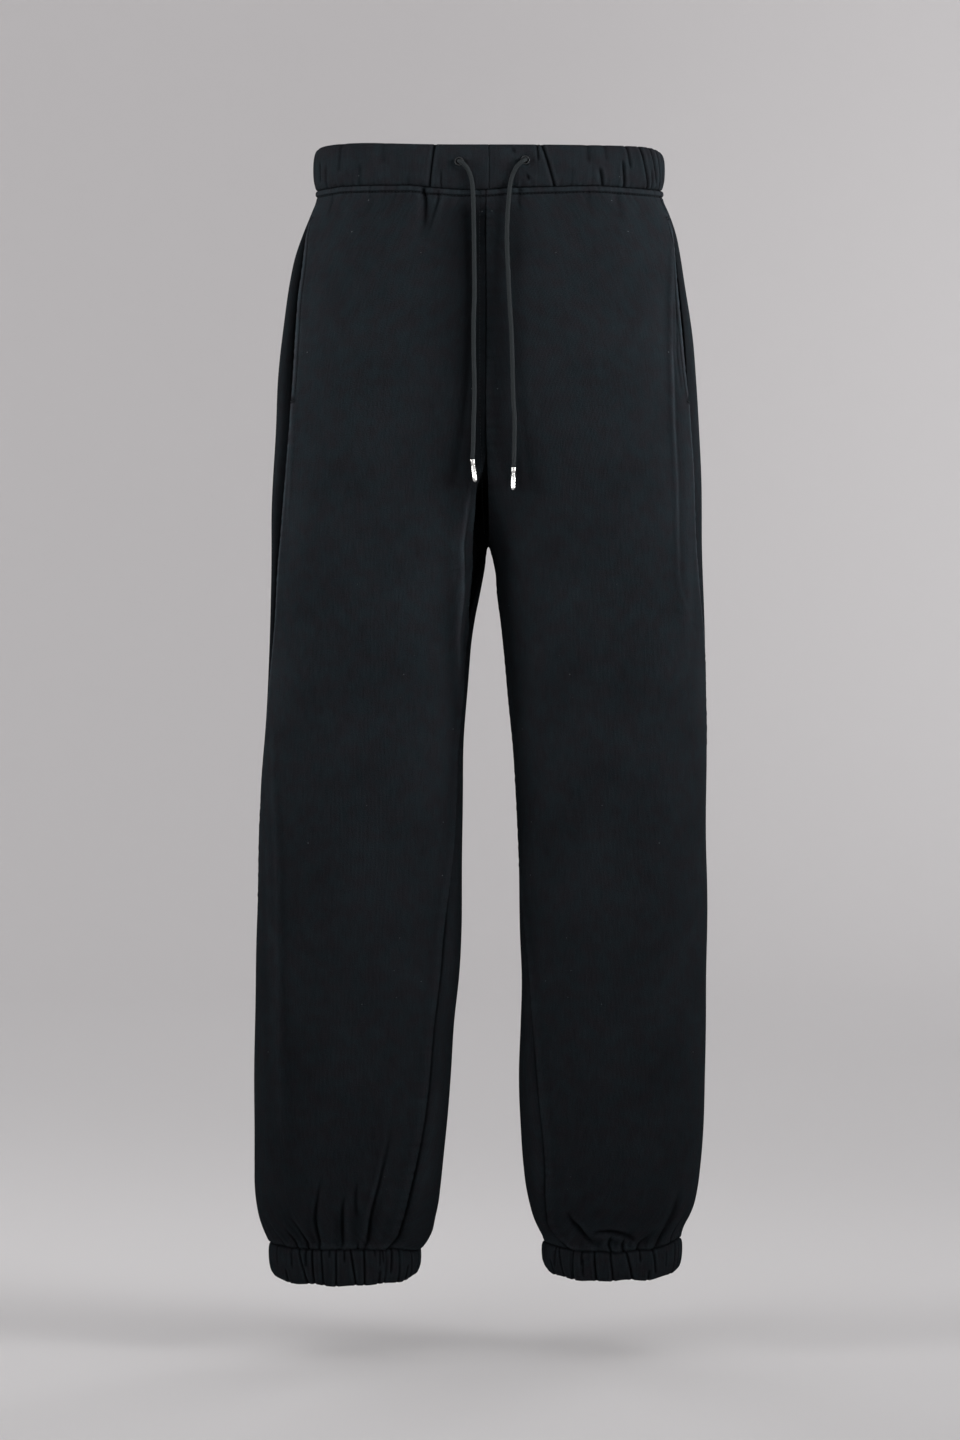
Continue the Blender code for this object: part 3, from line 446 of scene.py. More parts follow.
# Lines in degrees round the leg and millimetres of height. A gather ends at the cuff. Depth below 0: a rise.
Gather = namedtuple("Gather", "top_angle top foot_angle depth width")
GATHERS = by_leg(Gather, right=(
    (12, -945, 36, 3, 7), (43, -966, 52, 2.6, 6), (50, -952, 61, 3.4, 6), (74, -925, 70, 4.2, 6),
    (88, -936, 86, 4, 6), (95, -932, 95, 2.4, 6), (112, -905, 102, 4, 6), (150, -945, 148, 3, 7),
    (171, -938, 168, 3.2, 7), (-12, -938, -10, 3, 7), (-34, -950, -33, 3, 6), (-52, -915, -55, 4, 7),
    (-80, -946, -76, 3.2, 6), (-96, -922, -98, 4, 7), (-118, -940, -117, 3.4, 6),
    (-141, -912, -138, 3.8, 7), (-164, -950, -162, 2.8, 7)), left=(
    (10, -948, 16, 2.6, 7), (37, -922, 52, 4, 7), (58, -962, 69, 3.2, 6), (78, -960, 80, 3.4, 6),
    (90, -966, 89, 3, 6), (121, -955, 99, 3.8, 7), (116, -940, 114, 2.4, 7), (152, -948, 150, 3, 7),
    (172, -940, 170, 3.2, 7), (-14, -944, -12, 3, 7), (-36, -918, -38, 3.8, 7), (-62, -946, -58, 3, 6),
    (-78, -930, -80, 4, 7), (-104, -950, -101, 2.8, 6), (-122, -914, -124, 4, 7),
    (-148, -944, -145, 3.2, 7), (-168, -936, -166, 3, 7)))
Fold = namedtuple("Fold", "top_angle top foot_angle foot depth width")
FOLDS = by_leg(Fold, right=(
    (70, -12, 75, -75, 2.6, 8), (84, -10, 121, -340, 3.6, 24), (20, -60, 24, -420, -2, 10),
    (122, -280, 166, -540, -3.2, 11), (24, -500, 54, -950, -2, 10), (-98, -265, -166, -450, 3.2, 30),
    (-62, -560, -150, -690, 2.4, 28)), left=(
    (80, -10, 117, -340, 3.6, 22), (22, -24, 42, -480, -3, 11), (-104, -300, -160, -500, 2.8, 30),
    (-58, -596, -140, -668, 2.2, 30)))
GATHER_SHARE = 0.6


def trough(distance, width):
    """A bell curve, 1 along the line itself."""
    return np.exp(-((distance / width) ** 2))


def big_folds(leg, height, at):
    """How far the cloth stands out from the plain form: minus depth x bell curve across each line."""
    out = np.zeros(np.shape(height))
    for g in GATHERS[leg]:
        t = np.clip((g.top * MM - height) / (g.top * MM - CUFF_SEAM), 0, 1)
        line = distance_at(leg, height, np.radians(g.top_angle + (g.foot_angle - g.top_angle) * t))
        out -= GATHER_SHARE * g.depth * MM * ease(1.5 * t) * trough(at - line, g.width * MM)
    for f in FOLDS[leg]:
        t = np.clip((f.top * MM - height) / ((f.top - f.foot) * MM), 0, 1)
        line = distance_at(leg, height, np.radians(f.top_angle + (f.foot_angle - f.top_angle) * t))
        out -= f.depth * MM * np.sin(math.pi * t) * trough(at - line, f.width * MM)
    return out


print({leg: (len(GATHERS[leg]), len(FOLDS[leg])) for leg in SIDE}, "gathers and soft folds")

# %% [markdown]
# ### Sharper creases, line by line
# A crease is a polyline of (degrees round the leg, height in millimetres). Its swell says where along it the
# trough is deepest: 0 at its start, 1 at its end. Its lip is a soft roll of cloth beside it, on the side that
# the sign says. The distance from every point of the cloth to the line is found for all points at once.

# %% Crease lines
Crease = namedtuple("Crease", "leg depth width swell lip points")
SHARP = 4


def drawn(leg, *rows):
    """Creases from rows of depth, width, swell and lip, then the angle and the height of each point."""
    return [Crease(leg, *row[:4], np.array(row[4:], float).reshape(-1, 2)) for row in rows]


CREASES = [
    # front, under the waistband
    *drawn("right",
        (2.6, 1.9, 0.1, -0.8, 70, -20, 71.5, -34, 73.5, -58), (1.3, 1.8, 0.1, 0.5, 75.5, -20, 75, -64),
        (0.6, 4, 0.2, 0.3, 50, -22, 51, -46), (0.8, 3.5, 0.2, 0.3, 26, -22, 30, -50)),
    *drawn("left",
        (1, 2.2, 0.1, 0.3, 81, -20, 82, -44), (1, 4, 0.2, 0.5, 44, -22, 49, -56),
        (0.7, 4, 0.2, 0.3, 58, -22, 60, -50)),
    # the raised front crease of each leg
    *drawn("right",
        (-0.9, 2, 0.3, 0, 32.3, -214, 34.5, -255, 36, -290, 37, -320, 36.5, -350),
        (-1.2, 5, 0.4, 0, 26, -488, 33, -560, 39, -606, 45, -732, 52, -899), (1, 1.2, 0.4, 0, 125.5, -300,
        129.5, -314, 134, -331, 140, -368, 144, -396, 148, -432, 155, -468), (-2.2, 2.6, 0.45, 0, 122, -292,
        126, -312, 131, -329, 137, -366, 141, -394, 145, -430, 153, -470)),
    *drawn("left",
        (-2, 2.4, 0.25, 0, 9, -28, 16, -58, 21.5, -77, 30.5, -128, 34.2, -162, 36.6, -197, 39.4, -231, 42.3,
        -269, 45.2, -320, 46, -355, 45, -389, 27, -442),
        (1.3, 1.1, 0.6, 0.4, 17.7, -73, 24.5, -111, 28.6, -145, 31.6, -179, 31.8, -205, 31.9, -219)),
    # gathers over the right cuff, front
    *drawn("right",
        (2.4, 1.5, 0.9, 0.6, 27, -958, 33, -973, 41, -990), (2.2, 1.3, 0.8, -0.5, 47, -966, 54, -990),
        (2.6, 1.4, 0.8, 0.6, 54, -954, 60, -968, 63, -990),
        (2.4, 1.3, 0.8, -0.7, 78, -918, 75, -944, 73, -966, 71, -990),
        (2.5, 1.3, 0.6, 0.7, 90, -932, 89, -958, 86, -990), (1.2, 1.6, 0.6, 0.3, 95, -920, 96, -956),
        (1.8, 1.2, 1, 0.4, 96, -975, 97.5, -990),
        (2.6, 1.3, 0.75, -1, 112, -872, 109, -906, 106, -936, 104, -962, 100.5, -990),
        (2, 1.8, 1, 0.5, 136, -958, 139, -990), (2.2, 2, 1, 0.5, 12, -950, 18, -990),
        (1.8, 1.3, 0.5, 0.6, 154, -706, 148, -708, 141, -709)),
    # gathers over the left cuff, front
    *drawn("left",
        (2.7, 1.3, 0.55, -1.1, 122, -950, 119, -960, 114, -968, 109, -976, 102, -982),
        (3.2, 1.4, 0.3, 1, 104, -970, 97, -969, 89, -969, 84, -971, 79, -974, 72, -979),
        (2.6, 1.2, 0.7, 0.5, 90.5, -969, 90, -990), (2.6, 1.2, 0.7, -0.5, 82, -972, 82, -990),
        (2.4, 1.3, 0.6, 0.5, 63, -974, 70, -979, 73, -990),
        (1.6, 4, 0.7, -0.6, 44, -925, 45, -940, 44, -954, 45, -968, 50, -980, 57, -986),
        (1.8, 1.3, 0.7, -0.5, 45.5, -969, 50, -980, 57, -987), (2.2, 1.8, 1, 0.5, 28, -950, 34, -990),
        (2.4, 2, 1, 0.5, 8, -944, 12, -990)),
    # backs of the legs, gathered into the cuffs
    *drawn("right",
        (2.2, 2.4, 0.9, 0.7, -22, -930, -24, -990), (2, 2, 1, -0.5, -44, -952, -46, -990),
        (2.8, 2.2, 0.8, 0.9, -53, -908, -56, -950, -57, -990), (1.8, 1.8, 1, 0.4, -70, -958, -68, -990),
        (2.4, 2, 0.8, -0.7, -88, -936, -90, -990), (2.8, 2.2, 0.8, 0.8, -97, -914, -100, -955, -99, -990),
        (1.8, 1.8, 1, 0.5, -110, -956, -108, -990), (2.4, 2.2, 0.9, 0.6, -126, -930, -128, -990),
        (2.6, 2.2, 0.8, -0.8, -142, -905, -138, -955, -139, -990),
        (2, 2.2, 1, 0.5, -155, -950, -154, -990)),
    *drawn("left",
        (2.2, 2.4, 0.9, -0.6, -24, -936, -26, -990), (2.8, 2.2, 0.8, 0.8, -37, -910, -39, -952, -40, -990),
        (1.8, 1.8, 1, 0.5, -50, -955, -49, -990), (2.4, 2, 0.9, 0.6, -68, -940, -71, -990),
        (2.8, 2.2, 0.8, -0.8, -80, -922, -82, -960, -81, -990), (1.8, 1.8, 1, 0.4, -92, -952, -91, -990),
        (2.2, 2, 0.9, 0.5, -112, -938, -110, -990),
        (2.8, 2.2, 0.8, 0.9, -122, -906, -125, -955, -126, -990), (2, 2, 1, -0.4, -136, -955, -137, -990),
        (2.2, 2.2, 0.9, 0.5, -156, -940, -155, -990)),
    # hips and back, under the waistband
    *drawn("right",
        (1.6, 5, 0.1, 0.5, -16, -22, -18, -70), (1.2, 4, 0.1, 0.4, -31, -22, -32, -52),
        (1.9, 5.5, 0.1, 0.6, -44, -22, -47, -84), (1.3, 4, 0.1, -0.4, -58, -22, -58, -56),
        (1.8, 5, 0.1, 0.6, -70, -22, -72, -78), (1.2, 4, 0.1, 0.4, -81, -22, -81, -50),
        (1.6, 5, 0.1, -0.5, -92, -22, -95, -72)),
    *drawn("left",
        (1.5, 4.5, 0.1, -0.4, -12, -22, -14, -60), (1.8, 5.5, 0.1, 0.6, -27, -22, -29, -78),
        (1.2, 4, 0.1, 0.4, -41, -22, -41, -54), (1.9, 5.5, 0.1, 0.6, -53, -22, -56, -88),
        (1.3, 4, 0.1, 0.4, -66, -22, -66, -50), (1.7, 5, 0.1, -0.6, -77, -22, -79, -74),
        (1.5, 4.5, 0.1, 0.4, -90, -22, -91, -58)),
    # drag lines under the seat and behind the knees
    *drawn("right",
        (1.5, 10, 0.4, 0.5, -48, -338, -84, -352, -118, -398),
        (1.2, 8, 0.6, -0.3, -96, -300, -122, -330, -150, -384),
        (1.3, 11, 0.5, 0.4, -46, -578, -84, -590, -112, -574),
        (1, 10, 0.5, -0.3, -92, -664, -118, -650, -150, -662),
        (0.9, 10, 0.5, 0.3, -58, -806, -86, -820, -120, -802)),
    *drawn("left",
        (1.4, 11, 0.5, 0.4, -70, -352, -104, -380, -132, -436),
        (1, 9, 0.6, -0.3, -60, -306, -86, -312, -110, -334),
        (1.2, 12, 0.4, 0.4, -30, -540, -62, -566, -88, -572),
        (1.1, 10, 0.6, -0.3, -84, -628, -112, -612, -146, -620),
        (0.8, 10, 0.5, 0.3, -80, -780, -108, -796, -132, -788))]


def crease_line(crease):
    """The crease on the unrolled cloth: its points as (distance round, height), on a smooth curve."""
    angle, high = crease.points.T
    high = high * MM
    at = distance_at(crease.leg, high, np.radians(angle))
    p = np.stack([at, high, np.zeros(len(at))], 1)
    return smooth_route(p, 3 * MM)[:, :2] if len(p) > 2 else np.linspace(p[0, :2], p[1, :2], 12)


def nearest(line, p):
    """For each point p: its distance from the line, how far along that is, from 0 to 1, and on which side."""
    a, ab = line[:-1], np.diff(line, axis=0)
    t = np.clip(((p[:, None] - a) * ab).sum(-1) / (ab**2).sum(-1), 0, 1)
    off = p[:, None] - (a + t[..., None] * ab)
    far = np.linalg.norm(off, axis=-1)
    k = far.argmin(1)
    pick = np.arange(len(k))
    side = np.sign(ab[k, 0] * off[pick, k, 1] - ab[k, 1] * off[pick, k, 0])
    return far[pick, k], (k + t[pick, k]) / len(ab), side


def creases(leg, height, at):
    """The sum over the creases: minus depth x bell of the distance to the line, plus the lip beside it.
    The second result is the painted shade at the bottom of each crease, up to 1, and below 0 a painted
    highlight along a raised one."""
    out, painted_shade = np.zeros(np.shape(height)), np.zeros(np.shape(height))
    for c in (c for c in CREASES if c.leg == leg):
        line, width = crease_line(c), c.width * MM
        low, high = line.min(0) - 6 * width, line.max(0) + 6 * width
        near = (at > low[0]) & (at < high[0]) & (height > low[1]) & (height < high[1])
        if not near.any():
            continue
        far, t, side = nearest(line, np.stack([at[near], height[near]], -1))
        if c.swell < 1:
            rise = (ease(t / c.swell) * ease((1 - t) / (1 - c.swell))) ** 0.6
        else:
            rise = ease(t / 0.9)
        out[near] -= c.depth * MM * rise * np.exp(-((far / width) ** (1.3 if c.width < SHARP else 2.0)))
        beside = far * side * np.sign(c.lip or 1) - 2.3 * width
        out[near] += abs(c.lip) * MM * rise * trough(beside, 1.7 * width)
        middle = rise * trough(far, 0.5 * MM + 0.4 * width)
        # Painted shade along a sunk crease's bottom, and a painted highlight along a raised one.
        if c.width < SHARP and c.depth > 0:
            painted_shade[near] = np.maximum(painted_shade[near], min(1.0, c.depth / 2.9) * middle)
        elif c.width < SHARP:
            painted_shade[near] += 0.45 * c.depth * middle
    return out, painted_shade


print(len(CREASES), "creases")

# %% [markdown]
# ### Seams, puckers and slow unevenness
# At a seam both edges turn in, so a narrow groove runs between two rounded rolls. The sewing draws the cloth
# up a little, which shows as small ripples that die out within a centimetre. Cloth is also never as even as a
# formula: a few long slow waves, added together, keep the panels from looking like sheet metal.

# %% Seam relief
SEAM_ROLL = 1.5 * MM
STITCH_LINE = 5.9 * MM
GOLDEN = 0.618


def ripple(x, seed, shortest, longest):
    """Five waves of uneven lengths between two sizes, added up: about -1 to 1, and never the same twice."""
    k = np.arange(5)
    length = longest * (shortest / longest) ** ((k + 0.5 * np.sin(7.1 * seed + 2.3 * k) + 0.5) / 5.0)
    phase = 6.28 * ((GOLDEN * (k + 1) * (seed + 1.37)) % 1.0)
    return sum(np.sin(2 * math.pi * x / length[n] + phase[n]) for n in range(5)) / 2.6


def pucker(high, x, seed, shortest, longest, away, reach):
    """Small ripples along a seam, in millimetres, that die out away from it."""
    return high * MM * ripple(x, seed, shortest * MM, longest * MM) * np.exp(-away / (reach * MM))


def slow_waves(at, height, seed):
    """Long low waves over the cloth, each running its own way, about 1 mm high in all."""
    out = 0.0
    for n in range(6):
        turn = 0.35 * math.sin(3.7 * n + seed) + (1.35 if n % 3 == 2 else 0.12)
        length = (58 + 31 * n) * MM
        phase = 6.28 * ((GOLDEN * (n + 1) * (seed + 2.1)) % 1.0)
        way = at * math.cos(turn) + height * math.sin(turn)
        out = out + math.sqrt(length / 0.15) * np.sin(2 * math.pi * way / length + phase)
    return 0.26 * MM * out


def edge_roll(away, radius):
    """A quarter circle that turns the edge in: 0 beyond the radius, minus the radius at the edge itself."""
    t = np.clip(1 - away / radius, 0, 1)
    return -radius * (1 - np.sqrt(np.clip(1 - t**2, 0, 1)))


print("roll", SEAM_ROLL, "stitch line", STITCH_LINE)

# %% [markdown]
# ## The leg panels
# Each leg is a front and a back. A panel is a grid on the unrolled cloth, from the centre seam or inseam to
# the side seam. Its rows fan out round the crotch, where the inner edge turns a corner and the side does not.
# The columns lie close together near the seams, where the rolls and stitches are, and wide in the middle.
# Under the band and over the cuff, where the creases are sharp, there are twice as many columns.

# %% The grid of a panel
# Each row's height at its inner edge is read from its height at the side seam.
FAN = np.array([
    (-18.4, -18.4), (-55, -55), (-86, -86), (-125, -125), (-172, -168), (-222, -210), (-268, -246),
    (-308, -278), (-342, -305), (-371, -325), (-396, -338), (-416, -344), (-432, -345.5), (-448, -353),
    (-466, -368), (-488, -392), (-516, -428), (-550, -474), (-592, -530), (-640, -595), (-692, -662),
    (-745, -730), (-800, -795), (-850, -850), (-890, -890), (-988, -988)])[::-1] * MM
ROW_HEIGHTS = np.concatenate([
    np.linspace(-18.4, -30, 19)[:-1], np.linspace(-30, -76, 25)[:-1], np.linspace(-76, -906, 269)[:-1],
    np.linspace(-906, -988, 53)]) * MM
FINE_TOP, FINE_FOOT = 42, 310
NEAR_EDGE = np.array([0, 0.2, 0.45, 0.75, 1.1, 1.6, 2.3, 3.2, 4.3, 5.2, 5.8, 6.4, 7.2, 8.6, 10.4]) * MM
# Twice as many columns near the edge, each new one halfway between two.
CLOSE = np.interp(np.arange(2 * len(NEAR_EDGE) - 1) / 2, np.arange(len(NEAR_EDGE)), NEAR_EDGE)
MIDDLE = 104
POCKET_TOP, POCKET_FOOT = -46 * MM, -217 * MM
POCKET_GAPE = {"right": 2.0 * MM, "left": 6.5 * MM}
OVERLAP = 0.1 * MM


def steady(x, at, value):
    """A curve through points that never turns back: cubic pieces with harmonic slopes."""
    step = np.diff(value) / np.diff(at)
    slope = np.zeros(len(at))
    slope[1:-1] = 2 * step[1:] * step[:-1] / np.maximum(step[1:] + step[:-1], 1e-9)
    slope[0], slope[-1] = step[0], step[-1]
    return cubic(at, value, slope, x)


def panel_ends(leg, panel, edge, side):
    """Distances round the leg of each row's inner end, at the height edge, and of its side seam end."""
    outer, inner = (smooth(OUTLINE, f"{leg}_{k}", edge) * MM for k in ("outer", "inner"))
    share = (outer + inner - SEAM_GAP) / (outer - inner)
    cut = np.arccos(np.clip(-signed_power(share, smooth(DEPTH, "square", edge) / 2), -1, 1))
    turn = np.where(edge < CROTCH, np.radians(np.maximum(0, smooth(SEAMS, leg + "_inseam", edge))), 0.0)
    start = distance_at(leg, edge, cut - turn if panel == "front" else -cut - turn)
    return start, distance_at(leg, side, np.radians(smooth(SEAMS, leg + "_side", side)))


def panel_grid(leg, panel):
    """Height and distance round the leg of every grid point, and how far each is from both edges."""
    side = ROW_HEIGHTS
    edge = steady(side, FAN[:, 0], FAN[:, 1])
    start, end = panel_ends(leg, panel, edge, side)
    way = np.sign(end - start)
    t = (POCKET_TOP - side) / (POCKET_TOP - POCKET_FOOT)
    gape = POCKET_GAPE[leg] * np.sin(math.pi * np.clip(t, 0, 1)) ** 0.6 * (panel == "front")
    start, end = start - way * OVERLAP, end + way * np.where(gape > 0, -gape, OVERLAP)
    length = np.abs(end - start)[:, None]
    middle = CLOSE[-1] + (length - 2 * CLOSE[-1]) * np.linspace(0, 1, 2 * MIDDLE + 3)[1:-1]
    near = np.broadcast_to(CLOSE, (len(side), len(CLOSE)))
    away = np.concatenate([near, middle, length - near[:, ::-1]], axis=1)
    # The columns follow the inner edge closely beside it, and an evened run of it further in.
    steady_start = np.convolve(np.pad(start, 9, mode="edge"), np.hanning(21)[1:-1] / 10, "valid")
    calm = ease(away / (38 * MM)) * ease((length - away) / (60 * MM))
    at = start[:, None] + way[:, None] * away + (steady_start - start)[:, None] * calm
    height = edge[:, None] + (side - edge)[:, None] * away / length
    return height, at, away, length - away, edge, side


print("a panel's grid:", panel_grid("left", "front")[0].shape, "points")

# %% [markdown]
# The front's edges were pressed over the back's, so the front stands a little proud at the inseam and at the
# side seam, and the back lies lower beside it. The pocket mouth is a stretch of the side seam that was left
# open: its edge is folded and stitched, with a bar of dense stitches at each end.

# %% Relief of a panel
# The rim line of the right inner thigh's hollow: degrees round the leg and millimetres of height.
INNER_THIGH = np.array([
    (117.6, -267), (121.7, -283), (125.4, -297), (133.4, -316), (148, -348), (150.6, -376), (153.6, -395),
    (160, -430)])
# The valley down the middle of the front: its depth and width, and how dark and how wide the painted shade in
# it is.
VALLEY = {"right": (2.2, 26, 0.64, 42), "left": (2.2, 30, 0.2, 50)}
# How dark the painted shade on the back lies beside its side seam, in a wide strip and in a close one, and
# the close one's width.
BACK_STRIP_SHADE = {"right": (0.74, 0.8, 5), "left": (0.34, 0.6, 2.6)}
INSEAM_PROUD = {"front": 1.8, "back": -2.0}
SIDE_PROUD = {"front": 0.9, "back": -0.9}
HOLLOW_DEPTH = 9 * MM
MOUTH_STITCH, CENTRE_STITCH = 6.0 * MM, 5.5 * MM


def thigh_hollow(leg, height, at):
    """1 inside the deep hollow of the right inner thigh, 0 outside it: an eased step across its rim line."""
    if leg != "right":
        return np.zeros(height.shape)
    angle, high = INNER_THIGH.T
    rim = distance_at(leg, height, np.radians(np.interp(-height / MM, -high, angle)))
    across = (at - rim) / (4.5 * MM)
    return ease(across) * ease((-0.262 - height) / 0.06) * ease((height + 0.455) / 0.06)


def panel_relief(leg, panel, height, at, to_inner, to_side, edge, side):
    """The outside's height over the plain form, the part that the inside follows, and the tone's share of
    painted light and shade.
    """
    front = panel == "front"
    seed = SIDE[leg] * 3 + (0 if front else 5)
    inseam = ease((CROTCH - edge - 10 * MM) / (60 * MM))[:, None]
    seam_side = ease((-38 * MM - side) / (34 * MM))[:, None]
    middle = (1 - inseam) * ease((-20 * MM - edge) / (26 * MM))[:, None] * ease((edge + 0.35) / 0.09)[:, None]
    under, over = np.maximum(WAIST_SEAM - height, 0), np.maximum(height - CUFF_SEAM, 0)
    hollow = thigh_hollow(leg, height, at) if front else np.zeros(at.shape)
    deep, broad, shade_deep, shade_broad = VALLEY[leg]

    # What the inside follows too: folds, creases, the valley, the hollow and the proud or low seams.
    creased, painted_shade = creases(leg, height, at)
    soft = big_folds(leg, height, at) + creased + slow_waves(at, height, SIDE[leg] + (not front))
    soft = soft - deep * MM * middle * trough(to_inner, broad * MM) * front - HOLLOW_DEPTH * hollow
    soft = soft + INSEAM_PROUD[panel] * MM * inseam * trough(to_inner, 8 * MM)
    soft = soft + SIDE_PROUD[panel] * MM * seam_side * trough(to_side, 9 * MM)

    # What only the outside shows: rolled edges, puckers, the strip under the band and rows of stitching.
    fine = edge_roll(to_inner, 1.0 * MM) * (1 - inseam) + edge_roll(to_inner, 1.9 * MM) * inseam
    fine = fine + edge_roll(to_side, SEAM_ROLL)
    for k, away in enumerate((to_inner, to_side)):
        fine = fine + pucker(0.22, height, seed + k, 6, 15, away, 7)
    strip = np.clip(1 - ((under - 3.0 * MM) / (3.1 * MM)) ** 2, 0, 1)
    fine = fine + 1.3 * MM * strip ** 0.6 + edge_roll(under - SEAM_GAP, 1.2 * MM)
    fine = fine - 1.0 * MM * trough(under - STITCH_LINE - 0.2 * MM, 0.8 * MM)
    fine = fine + pucker(0.3, at, seed + 2, 5, 13, under, 9) + edge_roll(over, 2.4 * MM)
    fine = fine + pucker(0.35, at, seed + 3, 5, 12, over, 7)
    if front:
        mouth = (ease((POCKET_TOP - side) / (8 * MM)) * ease((side - POCKET_FOOT) / (8 * MM)))[:, None]
        fine = fine - 0.6 * MM * mouth * trough(to_side - MOUTH_STITCH, 0.8 * MM)
        for bar in (POCKET_TOP, POCKET_FOOT):
            pressed = trough(side - bar, 1.6 * MM)[:, None] * ease((8 * MM - to_side) / (3 * MM))
            fine = fine - 0.8 * MM * pressed
        if leg == "right":
            fine = fine - 0.3 * MM * trough(to_inner - CENTRE_STITCH, 0.8 * MM) * (1 - inseam)

    # The tone's share: painted shade in the valley, the hollow, the seams, the creases and the rows of
    # stitching.
    tone_with_painted_light = 1 - shade_deep * middle * trough(to_inner, shade_broad * MM) * front - 0.85 * hollow
    tone_with_painted_light = tone_with_painted_light * (1 - 0.96 * inseam * np.exp(-(to_inner / (1.7 * MM)) ** 4))
    tone_with_painted_light = tone_with_painted_light * (1 - 0.65 * (1 - inseam) * trough(to_inner, 0.8 * MM)) * (1 - 0.64 * painted_shade)
    tone_with_painted_light = tone_with_painted_light * (1 - 0.7 * trough(to_side, 1.1 * MM)) * (1 - 0.6 * trough(over, 0.9 * MM))
    tone_with_painted_light = tone_with_painted_light * (1 - 0.6 * trough(under, 1.2 * MM)) * (1 - 0.55 * trough(under - STITCH_LINE, 0.7 * MM))
    if front:
        # On the front: painted light growing towards the side seam, painted shade at the pocket's foot and in
        # the mouth's stitch row, and painted highlights on the lip by the side seam and beside the inseam.
        bars = trough(side - POCKET_FOOT, 4 * MM)[:, None] * ease((10 * MM - to_side) / (4 * MM))
        tone_with_painted_light = tone_with_painted_light * (0.93 + 0.16 * trough(to_side, 50 * MM))
        tone_with_painted_light = tone_with_painted_light * (1 - 0.4 * mouth * trough(to_side - MOUTH_STITCH, 0.7 * MM))
        tone_with_painted_light = tone_with_painted_light * (1 + 1.1 * seam_side * (1 - bars) * trough(to_side - 2.4 * MM, 1.6 * MM))
        tone_with_painted_light = tone_with_painted_light * (1 - 0.45 * bars**4) * (1 + 0.15 * inseam * trough(to_inner - 5 * MM, 2.5 * MM))
    else:
        # On the back: painted shade beside the inseam, and in strips beside the side seam where the front's
        # edge overhangs it.
        wide, close, close_reach = BACK_STRIP_SHADE[leg]
        tone_with_painted_light = tone_with_painted_light * (1 - 0.85 * inseam * np.exp(-(to_inner / (4.8 * MM)) ** 4))
        tone_with_painted_light = tone_with_painted_light * (1 - wide * seam_side * trough(to_side, 26 * MM))
        tone_with_painted_light = tone_with_painted_light * (1 - close * seam_side * trough(to_side, close_reach * MM))
    return soft + fine, soft, tone_with_painted_light


print("pocket mouth", round((POCKET_TOP - POCKET_FOOT) / MM), "mm, hollow of the inner thigh", HOLLOW_DEPTH)

# %% [markdown]
# A panel could be a single sheet with a Solidify modifier, but its inside doesn't need the fine relief of its
# outside. So it is a closed shell of two grids, with fewer points inside and down the middle of the leg, and
# with rims of triangles where the grids meet.

# %% A thin closed shell
def lifted(relief, reach=(2, 4), full=0.4 * MM):
    """Where the cloth is raised or sunk against the average of its neighbours, from -1 to 1."""
    mean = relief.copy()
    for axis, wide in enumerate(reach):
        padded = np.pad(mean, [(wide, wide) if k == axis else (0, 0) for k in (0, 1)], mode="edge")
        mean = sum(np.take(padded, range(k, k + relief.shape[axis]), axis) for k in range(2 * wide + 1))
        mean /= 2 * wide + 1
    return np.clip((relief - mean) / full, -1, 1)


def shade(relief, tone_with_painted_light=1.0):
    """The cloth's share of its full tone: a painted highlight on ridges, painted shade in hollows, 1 on the
    flat.
    """
    close, wide = lifted(relief), lifted(relief, (7, 11), 1.2 * MM)
    return tone_with_painted_light * (1 + np.where(close > 0, 0.2, 0.34) * close) * (1 + 0.12 * wide)


def strip(index):
    """Quads between the neighbours of a table of point numbers."""
    return np.stack([index[:-1, :-1], index[:-1, 1:], index[1:, 1:], index[1:, :-1]], -1).reshape(-1, 4)


def zip_up(few, many):
    """Triangles between a line of n points and a line of 2n - 1 points beside it."""
    a, b, c, d, e = few[:-1], few[1:], many[:-2:2], many[1:-1:2], many[2::2]
    return np.concatenate([np.stack([a, b, d], -1), np.stack([b, e, d], -1), np.stack([a, d, c], -1)])


def shell(name, outer, inner, directions, uv, tones_with_painted_light, fine_top, fine_foot):
    """A closed wall. Outside, the rows between the two fine zones use every second column. Inside, all do,
    with every second row. Rims of triangles close the four sides, and the points left over are dropped."""
    rows, columns = outer.shape[:2]
    n = rows * columns
    index = np.arange(n).reshape(rows, columns)
    quads, joins = [strip(index[:fine_top + 1])], []
    if fine_foot:
        quads += [strip(index[fine_top + 1:fine_foot, ::2]), strip(index[fine_foot:])]
        joins += [zip_up(index[fine_top + 1, ::2], index[fine_top])[:, ::-1],
                  zip_up(index[fine_foot - 1, ::2], index[fine_foot])]
    back = index[::2, ::2] + n
    joins += [zip_up(back[0], index[0]), zip_up(back[-1], index[-1])[:, ::-1],
              zip_up(back[:, 0], index[:, 0])[:, ::-1], zip_up(back[:, -1], index[:, -1])]
    quads, joins = np.concatenate([*quads, strip(back)[:, ::-1]]), np.concatenate(joins)
    points = np.concatenate([outer.reshape(-1, 3), inner.reshape(-1, 3)])
    out = np.concatenate([directions.reshape(-1, 3), -directions.reshape(-1, 3)])
    both = np.concatenate([uv.reshape(-1, 2)] * 2)
    tone_inside = 0.85
    marks = np.concatenate([tones_with_painted_light.ravel(), np.full(n, tone_inside)])
    used = np.unique(np.concatenate([quads.ravel(), joins.ravel()]))
    number = np.zeros(2 * n, int)
    number[used] = np.arange(len(used))
    faces = outward(points[used], [number[quads], number[joins]], out[used])
    print(name, "triangles:", 2 * len(quads) + len(joins))
    return make_piece(name, points[used], faces, both[used], marks[used])

